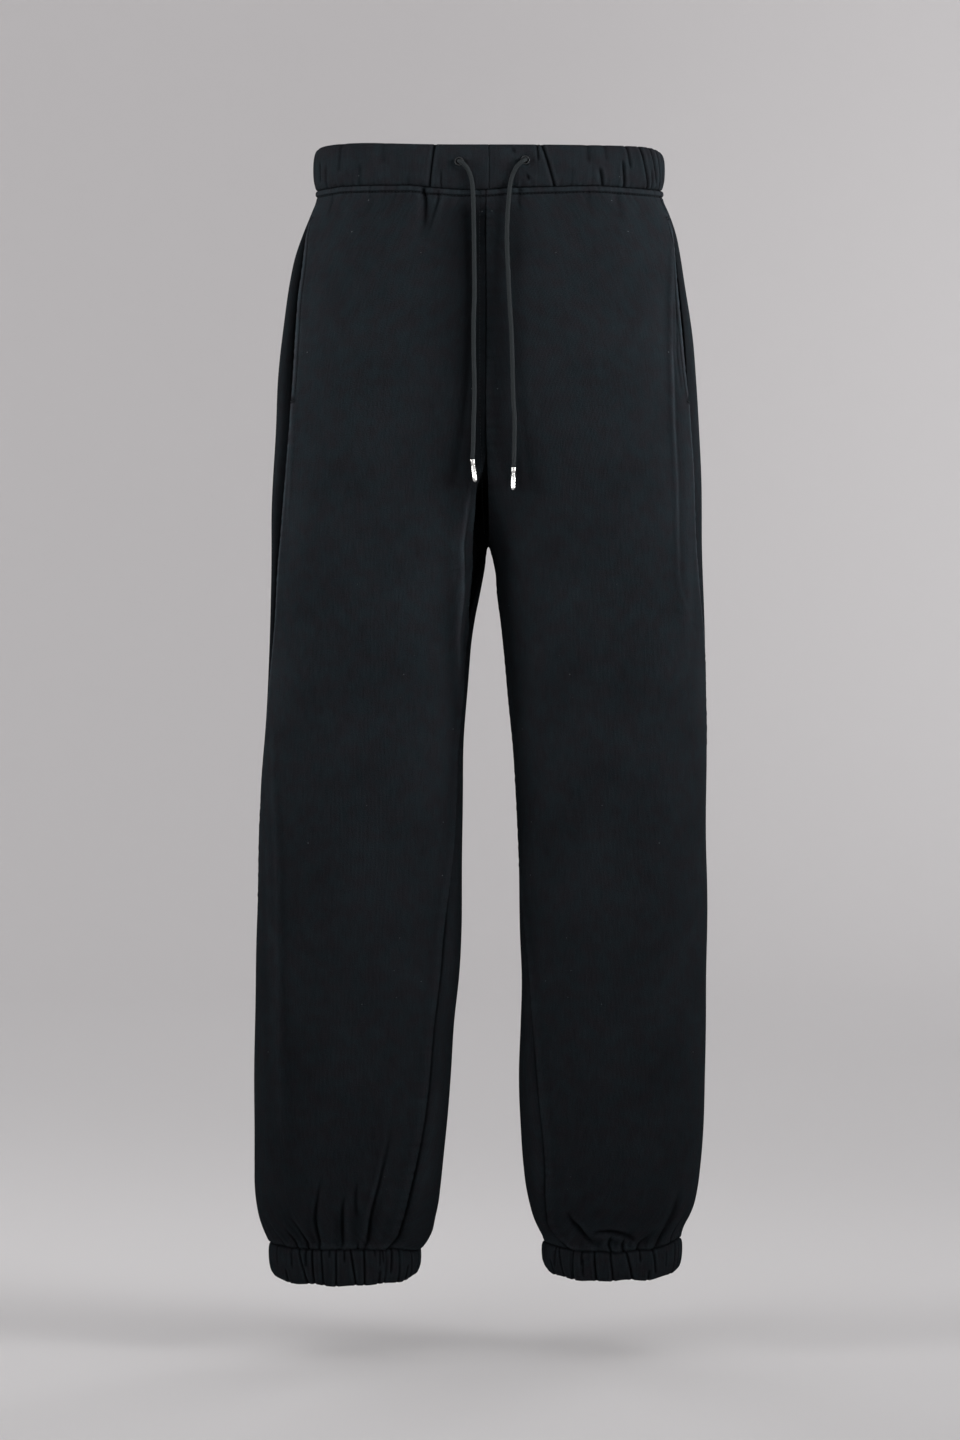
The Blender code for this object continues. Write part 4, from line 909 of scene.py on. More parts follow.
# %% [markdown]
# The band's lower seam isn't level: it dips at the centre front and rises over both hips, and the centre
# front seam itself wanders a little to the wearer's right. Both pieces at a seam are moved alike.

# %% Where the front seams really run
# How far the band's lower seam lies above its level line, by its place across the front.
SEAM_RISE = np.array([
    (-160, 0.4), (-134, 2.6), (-70, 2.6), (-63, 2), (-50, 0.2), (-30, -1.4), (-5, -2.1), (10, -0.8),
    (22, 0.4), (60, 1.2), (95, 2.2), (134, 0.9), (158, 0)]) * MM
SEAM_LEAN = -2.8 * MM


def settle(points, share=None):
    """Moves points of the front: up by the seam's rise, less and less away from it, and sideways.
    On the panels that fades with the height, and on the band with the share of the band's height."""
    x, y, z = (points[..., k] for k in range(3))
    front = ease(-y / (60 * MM))
    if share is None:
        near = 1 - ease((WAIST_SEAM - 12 * MM - z) / (36 * MM))
    else:
        near = np.clip(1 - share, 0, 1) ** 0.7
    rise = np.interp(x, SEAM_RISE[:, 0], SEAM_RISE[:, 1]) * front * near
    lean = SEAM_LEAN * front * trough(x, 34 * MM) * ease((z + 0.335) / 0.12)
    return points + np.stack([lean, 0 * rise, rise], -1)


# The same for the seam over the cuffs.
FOOT_RISE = np.array([
    (-205, 1), (-171, -1.5), (-120, -1), (-100, -2), (-88, -1), (-74, -4), (-60, -8), (0, 0), (49, 1.5),
    (65, -0.5), (85, -3.5), (100, -2.8), (115, -4.3), (135, -1.5), (146, -2), (158, 0.5), (166, 3),
    (176, 7)]) * MM


def settle_foot(points, share):
    """Moves points up by the rise of the seam over the cuff, by a share that is 1 at the seam itself."""
    front = ease((30 * MM - points[..., 1]) / (60 * MM))
    rise = np.interp(points[..., 0], FOOT_RISE[:, 0], FOOT_RISE[:, 1]) * front * share
    return points + rise[..., None] * UP


print("the band's seam moves by", SEAM_RISE[:, 1].min(), "to", SEAM_RISE[:, 1].max(), "m")

# %% Sew up the four panels
ALLOWANCE = 1.1 * MM
PANELS = {}
panels = {}
for leg in SIDE:
    for panel in ("front", "back"):
        height, at, to_inner, to_side, edge, side = panel_grid(leg, panel)
        base, normal = form(leg, height, at)
        relief, soft, tone_with_painted_light = panel_relief(leg, panel, height, at, to_inner, to_side, edge, side)
        allowance = 1 - ease((np.minimum(to_inner, to_side) - 8 * MM) / (2 * MM))
        outer = base + normal * relief[..., None]
        inner = base + normal * (soft - WALL - ALLOWANCE * allowance)[..., None]
        # Above the crotch the inner edges are pulled flat against the centre plane, and none crosses it.
        above = (edge > CROTCH - 0.5 * MM)[:, None] * (1 - ease(to_inner / (14 * MM)))
        for points in (outer, inner):
            points[..., 0] -= above * (points[:, :1, 0] + SIDE[leg] * OVERLAP)
            x = SIDE[leg] * points[..., 0]
            points[..., 0] = SIDE[leg] * np.where(height > CROTCH, np.maximum(x, -OVERLAP), x)
        near_cuff = 1 - ease((height - CUFF_SEAM) / (34 * MM))
        outer, inner = (settle_foot(settle(points), near_cuff) for points in (outer, inner))
        PANELS[panel, leg] = dict(outer=outer, normal=normal, to_inner=to_inner, to_side=to_side,
                                  edge=edge, side=side)
        panels[panel, leg] = shell(f"{panel}_panel_{leg}", outer, inner, normal, np.stack([at, height], -1),
                                   shade(relief, tone_with_painted_light), FINE_TOP, FINE_FOOT)

# %% [markdown]
# The sewing is real thread: a row below the waistband, one beside the centre front, one along each pocket
# mouth, and bars of close stitches at the mouth's ends. A stitch is a short bead with rounded ends that sinks
# at both of them. All beads of a panel are one mesh, made from one small table of points.

# %% Stitches
STITCH, THREAD, PITCH = 2.5 * MM, 0.27 * MM, 3.2 * MM
BAR_PITCH, BAR_STITCH = 0.55 * MM, 2.2 * MM
# A bead's points as shares of its length, width and height: one at each end and three rings of five between.
BEAD = np.array([(-0.5, 0, -0.9)] + [(a, r * math.sin(t), r * math.cos(t) + up) for a, r, up in (
    (-0.34, 0.8, -0.2), (0, 1.05, 0.25), (0.34, 0.8, -0.2)) for t in circle(5)] + [(0.5, 0, -0.9)])
BEAD_FACES = [grid_faces(3, 5, wrap_columns=True) + 1, caps(5, 10, (-1, 15)) + 1]


def beads(line, normal, pitch=PITCH):
    """Stitches at even distances along a line on the cloth: centre + bead's table x (along, across, out)."""
    gone = lengths(line)
    at = np.arange(pitch / 2, gone[-1], pitch)
    spot, out, ahead = (read(v, gone, d) for d, v in ((at, line), (at, normal), (at + 0.5 * MM, line)))
    along = unit(ahead - spot + 1e-9)
    out = unit(out - (out * along).sum(-1, keepdims=True) * along)
    frame_of = np.stack([along * STITCH, np.cross(out, along) * THREAD, out * THREAD], 1)
    return (spot + out * 0.12 * MM)[:, None] + BEAD @ frame_of


def bar_of_beads(line, normal):
    """Upright stitches side by side along a short level line: centre + bead's table x (up, side, out)."""
    centre = beads(line, normal, BAR_PITCH).mean(1, keepdims=True)
    out = normal.mean(0)
    side_way = unit(np.cross(out, UP))
    frame_of = np.stack([UP * BAR_STITCH, side_way * THREAD, np.cross(UP, side_way) * THREAD])
    return centre + BEAD @ frame_of + out * 0.3 * MM


def sew(name, rows_of_beads):
    """One mesh of many beads."""
    p = np.concatenate(rows_of_beads)
    first = (np.arange(len(p)) * len(BEAD))[:, None, None]
    faces = [(f + first).reshape(-1, f.shape[1]) for f in BEAD_FACES]
    out = (p - p.mean(1, keepdims=True)).reshape(-1, 3)
    uv = np.tile(BEAD[:, :2] * STITCH, (len(p), 1))
    return make_piece(name, p.reshape(-1, 3), outward(p.reshape(-1, 3), faces, out), uv)


stitches = {}
for (panel, leg), p in PANELS.items():
    row = np.interp(-(WAIST_SEAM - STITCH_LINE - 0.2 * MM), -p["side"], np.arange(len(p["side"])))
    low, part = int(row), row - int(row)
    made = [beads(*(p[k][low] * (1 - part) + p[k][low + 1] * part for k in ("outer", "normal")))]
    if panel == "front":
        near = np.abs(p["to_side"][60] - MOUTH_STITCH - 0.1 * MM).argmin()
        rows = (p["side"] < POCKET_TOP - 3 * MM) & (p["side"] > POCKET_FOOT + 3 * MM)
        made.append(beads(p["outer"][rows, near], p["normal"][rows, near]))
        for bar in (POCKET_TOP, POCKET_FOOT):
            r = np.abs(p["side"] - bar).argmin()
            column = (p["to_side"][r] < 7.5 * MM) & (p["to_side"][r] > 0.8 * MM)
            made.append(bar_of_beads(p["outer"][r, column], p["normal"][r, column]))
        if leg == "right":
            near = np.abs(p["to_inner"][60] - CENTRE_STITCH).argmin()
            rows = (p["edge"] < -30 * MM) & (p["edge"] > CROTCH + 6 * MM)
            made.append(beads(p["outer"][rows, near], p["normal"][rows, near]))
    stitches[panel, leg] = sew(f"stitches_{panel}_{leg}", made)
    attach(stitches[panel, leg], "root")
    print(stitches[panel, leg].name, sum(map(len, made)), "stitches")

for (panel, leg), made in panels.items():
    stand_for(made, f"{panel}_{leg}")

# %% [markdown]
# ## The waistband
# The waistband is one strip folded over a wide elastic. Where the elastic shrinks, the cloth stands in
# gathers; at the front, round the eyelets, it lies nearly flat with a few deep folds. It is a profile of the
# folded casing carried along the waist line, with the folds pressed in as troughs that lean and fade.

# %% The waist line and the casing's profile
def whole_line(leg, height):
    """A leg's level line from the inner edge of its front round to that of its back, and its distances."""
    edge = np.array([height])
    start, end = (panel_ends(leg, panel, edge, edge)[0][0] for panel in ("front", "back"))
    line, _ = form(leg, np.full(1200, height), np.linspace(start, end, 1200))
    return line, lengths(line)


def path_frame(leg, line, along, at, step, closed=False):
    """Points of a level path at distances along it, and its level outward directions there."""
    def spot(d):
        return read(line, along, d % along[-1] if closed else np.clip(d, 0, along[-1]))
    return spot(at), unit(np.cross(spot(at + step) - spot(at - step), UP) * SIDE[leg])


def finer(profile, count):
    """A closed profile read at even distances along a smooth curve through its points."""
    loop = np.concatenate([profile[-3:], profile, profile[:3]])
    gap = lengths(loop)
    x = np.linspace(gap[3], gap[3 + len(profile)], count, endpoint=False)
    return cubic(gap, loop, np.gradient(loop, gap, axis=0), x)


def carry(base, normal, out, up):
    """A profile carried along a path: base + distance out x normal + distance up x the vertical."""
    return base[:, None] + normal[:, None] * out[..., None] + UP * up[None, :, None]


def casing(name, points, profile, at, tones_with_painted_light, closed):
    """The mesh of a carried profile: a ring that closes on itself, or a length with a cap at both ends."""
    m, n = points.shape[:2]
    centre = points.mean(1)
    out = (points - centre[:, None]).reshape(-1, 3)
    uv = np.stack(np.broadcast_arrays(at[:, None], lengths(profile)[None]), -1).reshape(-1, 2)
    flat, tones_with_painted_light, faces = points.reshape(-1, 3), tones_with_painted_light.ravel(), [grid_faces(m, n, closed, True)]
    if not closed:
        flat, uv = np.concatenate([flat, centre[[0, -1]]]), np.concatenate([uv, uv[[0, -1]]])
        tones_with_painted_light = np.concatenate([tones_with_painted_light, [1, 1]])
        faces.append(caps(n, (m - 1) * n, (m * n, m * n + 1)))
    print(name, "triangles:", 2 * len(faces[0]))
    return make_piece(name, flat, outward(flat, faces, out), uv, tones_with_painted_light)


# How far out and how high the casing's wall lies, once round it from the outer foot.
CASING = np.array([
    (-0.9, -19.35), (0.15, -18.9), (1, -17.6), (1.7, -15.4), (2.2, -12.4), (2.5, -8.4), (2.65, -3.6),
    (2.65, 1.2), (2.5, 6), (2.2, 10.2), (1.6, 13.8), (0.7, 16.7), (-0.6, 18.7), (-2.3, 19.6), (-4, 19.4),
    (-5.4, 18.2), (-6.3, 16.2), (-6.8, 13.4), (-7.05, 9.6), (-7.1, 5), (-7.1, 0), (-7.1, -5), (-7.05, -9.6),
    (-6.9, -13.6), (-6.5, -16.6), (-5.8, -18.4), (-4.6, -19.3), (-2.8, -19.5)]) * MM
print("casing", np.ptp(CASING[:, 1]), "m high")

# %% Folds of the waistband
# Distances from the centre front in millimetres, and the stretch of the band's height, from 0 up to 1.
Tuck = namedtuple("Tuck", "top_at foot_at top foot depth width puff")
BAND_TUCKS = by_leg(Tuck, right=(
    (48.3, 53, 1.05, 0, 2.4, 1.1, 0.5), (42, 42.2, 0.45, 0, 1.2, 1, 0.3), (74, 73, 0.3, 0, 0.5, 3, 0.1),
    (96, 95, 1, 0.45, 0.45, 4, 0.1), (118, 120, 0.6, 0, 0.6, 3.5, 0.2), (141, 143, 1, 0.3, 0.7, 3.5, 0.3),
    (160, 163, 0.6, 0, 0.9, 2.6, 0.4), (174, 172, 0.7, 0.1, 1.2, 2, 0.6),
    (186.5, 188, 1.05, 0.3, 1.8, 1.6, 0.9), (199, 197, 1.05, 0.1, 1.5, 2.4, 0.8),
    (210, 213, 1.05, 0, 1.8, 2.2, 0.9), (224, 221, 0.9, 0, 1.5, 2.4, 0.8),
    (236, 239, 1.05, 0.1, 1.9, 2.3, 0.9), (251, 248, 1.05, 0, 1.6, 2.2, 0.8),
    (262, 265, 0.8, 0, 1.7, 2.6, 0.8), (278, 275, 1.05, 0, 1.9, 2.3, 0.9),
    (290, 292, 1.05, 0.2, 1.5, 2.2, 0.8), (305, 303, 1.05, 0, 1.8, 2.4, 0.9),
    (317, 321, 0.9, 0, 1.6, 2.2, 0.8), (332, 330, 1.05, 0.1, 1.8, 2.3, 0.9),
    (345, 348, 1.05, 0, 1.5, 2.4, 0.8), (360, 357, 1.05, 0, 1.9, 2.2, 0.9),
    (373, 376, 0.9, 0, 1.6, 2.3, 0.8), (387, 385, 1.05, 0, 1.7, 2.2, 0.8),
    (398, 400, 1.05, 0.1, 1.4, 2.2, 0.6)), left=(
    (48, 59.2, 1.05, 0, 2.6, 1.1, 0.6), (44.1, 45, 1.05, 0.55, 1.5, 1, 0.3),
    (22.4, 31, 0.98, 0.74, 1.6, 1.6, 0.5), (25.5, 38.6, 0.36, 0.1, 2, 1.6, 0.8),
    (90.5, 90, 1, 0.5, 0.8, 3.5, 0.2), (77, 75, 0.5, 0, 0.5, 4, 0.1), (97, 104.5, 0.5, 0, 2.2, 1.4, 0.9),
    (107, 108, 1, 0.55, 0.6, 3, 0.3), (123, 127.3, 0.7, 0, 2.6, 1.3, 1.1),
    (130, 136, 1.05, 0.4, 1.7, 1.4, 0.8), (146, 157, 1.05, 0, 2.6, 1.4, 1.2),
    (158, 163, 0.5, 0, 1.4, 1.5, 0.6), (161, 171, 1.05, 0.1, 2, 1.5, 0.9), (172, 180, 1.05, 0, 2, 1.6, 0.9),
    (184, 189, 1.05, 0, 1.9, 1.7, 0.9), (194, 198, 1.05, 0.1, 1.8, 2.2, 0.8),
    (207, 209, 1.05, 0, 1.6, 2.4, 0.8), (220, 218, 0.9, 0, 1.8, 2.2, 0.9),
    (232, 235, 1.05, 0, 1.7, 2.4, 0.8), (246, 244, 1.05, 0.2, 1.6, 2.2, 0.8),
    (258, 261, 1.05, 0, 1.9, 2.3, 0.9), (273, 271, 0.85, 0, 1.6, 2.4, 0.8),
    (286, 289, 1.05, 0, 1.8, 2.2, 0.9), (301, 299, 1.05, 0.1, 1.7, 2.2, 0.8),
    (313, 316, 1.05, 0, 1.8, 2.4, 0.8), (329, 326, 0.9, 0, 1.6, 2.2, 0.8),
    (341, 344, 1.05, 0, 1.9, 2.3, 0.9), (356, 353, 1.05, 0.1, 1.6, 2.2, 0.8),
    (369, 372, 1.05, 0, 1.8, 2.4, 0.8), (384, 382, 0.9, 0, 1.6, 2.2, 0.8),
    (396, 398, 1.05, 0, 1.5, 2.2, 0.6)))


def tucked(tucks, at, share, girth=None):
    """Minus depth x bell curve across each leaning tuck, plus a puff on both sides, and the tone with painted
    shade along its line.
    """
    out, painted_shade = np.zeros((2, *np.broadcast(at, share).shape))
    for k in tucks:
        lean = k.foot_at + (k.top_at - k.foot_at) * share
        across = at - lean * MM
        if girth:
            across = (across + girth / 2) % girth - girth / 2
        starts = ease((share - k.foot) / 0.16 + 1.0 * (k.foot <= 0))
        fade = starts * ease((k.top - share) / 0.2 + 1.0 * (k.top >= 1))
        width = k.width * MM
        out -= k.depth * MM * fade * np.exp(-(np.abs(across) / width) ** 1.2)
        puffs = trough(across - 2.6 * width, 1.6 * width) + trough(across + 2.6 * width, 1.6 * width)
        out += 0.55 * k.puff * MM * fade * puffs
        # Painted shade along the bottom of each tuck.
        painted_shade = np.maximum(painted_shade, min(1.0, k.depth / 2.2) * fade * trough(across, 0.35 * MM + 0.4 * width))
    return out, 1 - 0.6 * painted_shade


print({leg: len(t) for leg, t in BAND_TUCKS.items()}, "tucks")

# %% Make the two halves of the waistband
BAND_SAMPLES = 64


def press_in(points, leg, front_side):
    """Moves the band's front to meet its eyelet: sunk under the ring's hole, and pressed flat round it."""
    spot, face = np.array(EYELET_SEAT[leg][0]) * MM, unit(np.array(EYELET_SEAT[leg][1]))
    away = points - spot
    off = away @ face
    flat_away = np.linalg.norm(away - off[..., None] * face, axis=-1)
    sink = 5.0 * MM * (1 - ease((flat_away - 2.7 * MM) / (1.3 * MM))) * front_side
    press = -off * (1 - ease((flat_away - 5 * MM) / (4 * MM))) * front_side * (np.abs(off) < 4 * MM)
    return points + face * (press - sink)[..., None]


bands = {}
profile = finer(CASING, BAND_SAMPLES)
share = (profile[:, 1] - CASING[:, 1].min()) / np.ptp(CASING[:, 1])
inside = ease((-profile[:, 0] - 1.6 * MM) / (3.6 * MM))
for leg in SIDE:
    line, along = whole_line(leg, WAIST_SEAM)
    line[:, 2] -= WAIST_SEAM
    # Close columns at both ends and round the eyelet, and even ones elsewhere.
    eyelet_at = float(np.interp(abs(EYELET_SEAT[leg][0][0]) * MM, np.abs(line[:600, 0]), along[:600]))
    close = np.linspace(0, 4, 9)
    edges = np.concatenate([close, along[-1] / MM - close]) * MM
    at = np.concatenate([np.linspace(0, along[-1], 400), edges, eyelet_at + np.linspace(-6, 6, 31) * MM])
    at = np.unique(np.round(at, 5))
    base, normal = path_frame(leg, line, along, at, 2 * MM)
    normal[[0, -1], 0] = 0.0
    normal = unit(normal)
    d, s = at[:, None], share[None, :]
    # The tucks' relief, and the painted shade along them as the band's tone.
    relief, painted_shade_lines = tucked(BAND_TUCKS[leg], d, s)
    relief = relief * (1 - 1.45 * inside)[None]
    seed = 4 + SIDE[leg]
    slow = 0.5 * MM * ripple(d + 0 * s, seed, 30 * MM, 90 * MM) * np.sin(math.pi * np.clip(s, 0, 1))
    relief = relief + (slow + pucker(0.3, d + 0 * s, seed + 1, 5, 12, s, 140)) * (1 - 2 * inside)[None]
    to_end = np.minimum(d, along[-1] - d)
    relief = relief + edge_roll(to_end, 1.6 * MM) * (1 - 2 * inside)[None]
    points = carry(base, normal, profile[:, 0][None] + relief, profile[:, 1])
    dip = 3.6 * MM * trough(d - 196 * MM, 26 * MM) if leg == "left" else (
        2.6 * MM * trough(d - 205 * MM, 20 * MM) - 2.4 * MM * trough(d - 125 * MM, 52 * MM))
    points[..., 2] -= (np.maximum(-relief, 0) * 0.6 + dip) * ease((s - 0.6) / 0.4)
    points = press_in(settle(points, s), leg, (profile[:, 0] > -1.0 * MM)[None] * 1.0)
    # Both ends are pulled flat against the centre plane.
    pull = (1 - ease(to_end / (8 * MM))) * np.ones_like(points[..., 0])
    ends = np.where(d < along[-1] / 2, points[:1, :, 0], points[-1:, :, 0])
    points[..., 0] -= pull * (ends + SIDE[leg] * OVERLAP)
    bands[leg] = casing(f"waistband_half_{leg}", points, profile, at, shade(relief, painted_shade_lines), closed=False)
    stand_for(bands[leg], f"waistband_{leg}")

# %% [markdown]
# ## The cuffs
# Each cuff is an elastic casing too, but short and closed all round, so its gathers are narrow and close.
# They lean this way and that, and some join. The same profile idea is used, with a wrapped path.

# %% Tucks of the cuffs
CUFF_HEIGHT = {"right": 32 * MM, "left": 28 * MM}
# How far out the cuff's wall lies, and how far down as a share of its height.
CUFF_CASING = np.array([
    (-0.9, 0), (0.2, -0.03), (1, -0.1), (1.55, -0.22), (1.8, -0.38), (1.75, -0.55), (1.4, -0.72),
    (0.8, -0.86), (-0.2, -0.955), (-1.6, -1), (-3.2, -0.985), (-4.5, -0.93), (-5.3, -0.82), (-5.6, -0.66),
    (-5.6, -0.48), (-5.6, -0.3), (-5.5, -0.14), (-5, -0.03), (-3.8, 0.01), (-2.3, 0.02)])
# Angles at the seam and at the foot, the stretch of the cuff's height from 1 at its seam to 0, and the depth.
FRONT_TUCKS = {
    "right": (
        (30, 31, 1.1, 0.4, 1), (39, 42.5, 0.45, -0.1, 2), (48, 50, 1.1, 0.4, 1.2),
        (55.8, 63.3, 1.1, -0.1, 2.3), (62.5, 62.6, 1.1, 0.45, 1.8), (67.6, 68.9, 1.1, -0.1, 2.3),
        (75, 76.5, 1.1, -0.1, 1.8), (81.1, 81.1, 1.1, 0.75, 1.3), (85.6, 85.6, 1.1, -0.1, 2),
        (90.4, 90.8, 1.1, 0.6, 1.5), (94.3, 98.1, 1.1, -0.1, 2.4), (103.8, 104.6, 1.1, -0.1, 2.3),
        (112.3, 112.3, 1.1, 0.8, 1.3), (118.8, 120.8, 1.1, 0.55, 1.9), (117.6, 116.2, 0.5, -0.1, 1.5),
        (126.6, 127.6, 1.1, 0.45, 1.4)),
    "left": (
        (44, 43, 0.9, 0.3, 1), (58.2, 53.9, 1.1, 0.15, 2.2), (61.8, 61.5, 0.4, -0.1, 1.5),
        (70.5, 69.6, 1.1, 0.55, 1.6), (81.3, 76, 1.1, -0.1, 2.5), (92.4, 90.4, 1.1, -0.1, 2),
        (104.5, 103.1, 1.1, -0.1, 2.3), (115.5, 114.9, 1.1, 0.45, 1.7), (127.9, 124.8, 1.1, -0.1, 2.4),
        (138.3, 136.9, 0.85, 0.1, 1.5))}


def cuff_tucks(leg, girth):
    """Front tucks at their own angles, and on the other sides uneven ones, about 12 mm apart."""
    made = []
    start = panel_ends(leg, "front", np.array([CUFF_SEAM]), np.array([CUFF_SEAM]))[0][0]
    for n, (top, foot, up, down, depth) in enumerate(FRONT_TUCKS[leg]):
        a, b = (abs(start - distance_at(leg, np.array(CUFF_SEAM), np.radians(x))) / MM for x in (top, foot))
        made.append(Tuck(a, b, up, down, depth, 0.95 + 0.15 * math.sin(3.7 * n), 0.5))
    used = [t.top_at for t in made]
    at, n = 7.0, 0
    while at < girth / MM - 5:
        if min(abs(at - u) for u in used) > 8 and not min(used) < at < max(used):
            lean = 2.2 * math.sin(3.3 * n + SIDE[leg])
            made.append(Tuck(at - lean, at + lean, (1.1, 0.6, 1.1)[n % 3], 0.25 if n % 4 == 1 else -0.1,
                             1.8 + 0.7 * math.sin(2.7 * n), 1.1 + 0.3 * math.sin(1.9 * n), 0.5))
        at += 8.6 + 3.6 * math.sin(2.4 * n + 2 * SIDE[leg])
        n += 1
    return made


print({leg: len(t) for leg, t in FRONT_TUCKS.items()}, "front tucks")

# %% Make the cuffs
CUFF_SAMPLES = 52
END_RISE = {"right": 2.8 * MM, "left": 4.0 * MM}
cuffs = {}
for leg in SIDE:
    line, along = whole_line(leg, CUFF_SEAM)
    line[:, 2] = 0.0
    girth = along[-1]
    tucks = cuff_tucks(leg, girth)
    count = round(girth / (0.85 * MM))
    at = np.arange(count) * girth / count
    base, normal = path_frame(leg, line, along, at, 3 * MM, closed=True)
    profile = finer(CUFF_CASING * np.array([MM, CUFF_HEIGHT[leg]]), CUFF_SAMPLES)
    share = np.clip(-profile[:, 1] / CUFF_HEIGHT[leg], 0, 1)
    taper = -2.4 * MM * share ** 1.5
    inside = ease((-profile[:, 0] - 1.2 * MM) / (2.8 * MM))
    d, s = at[:, None], 1 - share[None, :]
    # The tucks' relief, and the painted shade along them as the cuff's tone.
    relief, painted_shade_lines = tucked(tucks, d, s, girth)
    relief = relief * (1 - 1.4 * inside)[None]
    turns = 2 * math.pi * d / girth
    closed_wave = sum(np.sin(turns * k + k * k + SIDE[leg]) / k ** 0.5 for k in (3, 5, 8, 13))
    relief = relief + 0.35 * MM * closed_wave * (1 - inside)[None]
    from_inseam = (d + girth / 2) % girth - girth / 2
    relief = relief - 1.2 * MM * trough(from_inseam, 1.0 * MM) * (1 - inside)[None]
    points = carry(base, normal, profile[:, 0] + taper + relief, CUFF_SEAM + profile[:, 1])
    foot_wave = 0.5 * MM * sum(np.sin(turns * k + 2 * k + SIDE[leg]) for k in (2, 7, 11))
    points[..., 2] += (np.maximum(-relief, 0) * 0.8 + foot_wave) * ease((share[None] - 0.75) / 0.25)
    ends_up = END_RISE[leg] * np.abs(normal[:, :1]) ** 4 - 1.6 * MM * np.maximum(-normal[:, 1:2], 0) ** 2
    points[..., 2] += ends_up * ease((share[None] - 0.4) / 0.6)
    points = settle_foot(points, 1 - ease(share[None] / 0.9))
    # Painted shade along the cuff's seam groove.
    painted_shade_lines = painted_shade_lines * (1 - 0.5 * trough(share[None] * CUFF_HEIGHT[leg], 0.8 * MM) * (1 - inside)[None])
    cuffs[leg] = casing(f"cuff_casing_{leg}", points, profile, at, shade(relief, painted_shade_lines), closed=True)
    stand_for(cuffs[leg], f"cuff_{leg}")
    print(len(tucks), "tucks")

# %% [markdown]
# ## The pocket bags
# A side pocket is a bag behind the front, sewn to the two edges of the opening. Little of it shows, only
# where the mouth stands off the hip, but it closes the view into the leg there. It follows the front panel,
# moved in by the cloth and a small gap.

# %% Make the pocket bags
POCKET_BAG_FOOT = -308 * MM
BAG_WIDE, BAG_NARROW, BAG_WALL = 150 * MM, 132 * MM, 1.6 * MM
pockets = {}
for leg in SIDE:
    p = PANELS["front", leg]
    rows = np.where((p["side"] < POCKET_TOP - 1 * MM) & (p["side"] > POCKET_BAG_FOOT))[0]
    rows = rows[:len(rows) - 1 + len(rows) % 2]
    side, edge = p["side"][rows], p["edge"][rows]
    start, end = panel_ends(leg, "front", edge, side)
    way = np.sign(end - start)
    reach = BAG_WIDE - (BAG_WIDE - BAG_NARROW) * ease((POCKET_FOOT - side) / (60 * MM))
    t = np.concatenate([np.linspace(0, 1, 40)[:-1] * 0.9, np.linspace(0.9, 1, 12)])[None]
    away = (1 - t) * reach[:, None] + 0.45 * MM
    at = end[:, None] - way[:, None] * away
    slant = (edge - side)[:, None] * away / np.abs(end - start)[:, None]
    height = np.broadcast_to(side[:, None], at.shape) + slant
    base, normal = form(leg, height, at)
    soft = big_folds(leg, height, at) + creases(leg, height, at)[0] + slow_waves(at, height, SIDE[leg])
    behind = WALL + 0.8 * MM + 0.9 * MM * ease(away / (30 * MM))
    outer, inner = (base + normal * (soft - k)[..., None] for k in (behind, behind + BAG_WALL))
    pockets[leg] = shell(f"pocket_bag_{leg}", outer, inner, normal, np.stack([at, height], -1),
                         np.ones(at.shape), len(rows), None)
    stand_for(pockets[leg], f"pocket_{leg}")

# %% [markdown]
# ## Finishes
# The fleece is a dark cotton knit with its brushed side in. Its face is dull, with fine upright wales and a
# short nap that catches light at grazing angles, so it is a rough Principled surface with some sheen. Wales
# and nap are read from the cloth's own UV map in metres, so they follow each panel and keep their size.

# %% Materials
def new_material(name, colour, rough, metal=0.0):
    """A node material. put() sets inputs of its shader or of another node, each to a value or to an output
    of a node, and add() makes a node with given inputs and gives back one of its outputs."""
    made = bpy.data.materials.new(name)
    made.use_nodes = True
    nodes, links = made.node_tree.nodes, made.node_tree.links

    def put(inputs, node=nodes["Principled BSDF"]):
        for key, value in inputs.items():
            if isinstance(value, bpy.types.NodeSocket):
                links.new(value, node.inputs[key])
            else:
                node.inputs[key].default_value = value

    def add(kind, inputs, out=0, **settings):
        node = nodes.new("ShaderNode" + kind)
        for key, value in settings.items():
            setattr(node, key, value)
        put(inputs, node)
        return node.outputs[out]

    put({"Base Color": (*colour, 1), "Roughness": rough, "Metallic": metal})
    return made, put, add


def remap(add, source, low, high, least, most):
    """A value from low to high, stretched to run from least to most."""
    ends = {"From Min": low, "From Max": high, "To Min": least, "To Max": most}
    return add("MapRange", {"Value": source, **ends})


def noise(add, place, scale, detail, rough=0.5):
    """Cloudy noise with so many clouds a metre."""
    return add("TexNoise", {"Vector": place, "Scale": scale, "Detail": detail, "Roughness": rough}, "Fac")


def mixed(add, share, colour, other):
    """One colour turned into another by a share from 0 to 1. The node's inputs 6 and 7 are its colours."""
    return add("Mix", {"Factor": share, 6: colour, 7: other}, 2, data_type="RGBA")


print("material helpers ready")

# %% The fleece
LINT = (0.07, 0.075, 0.08, 1)


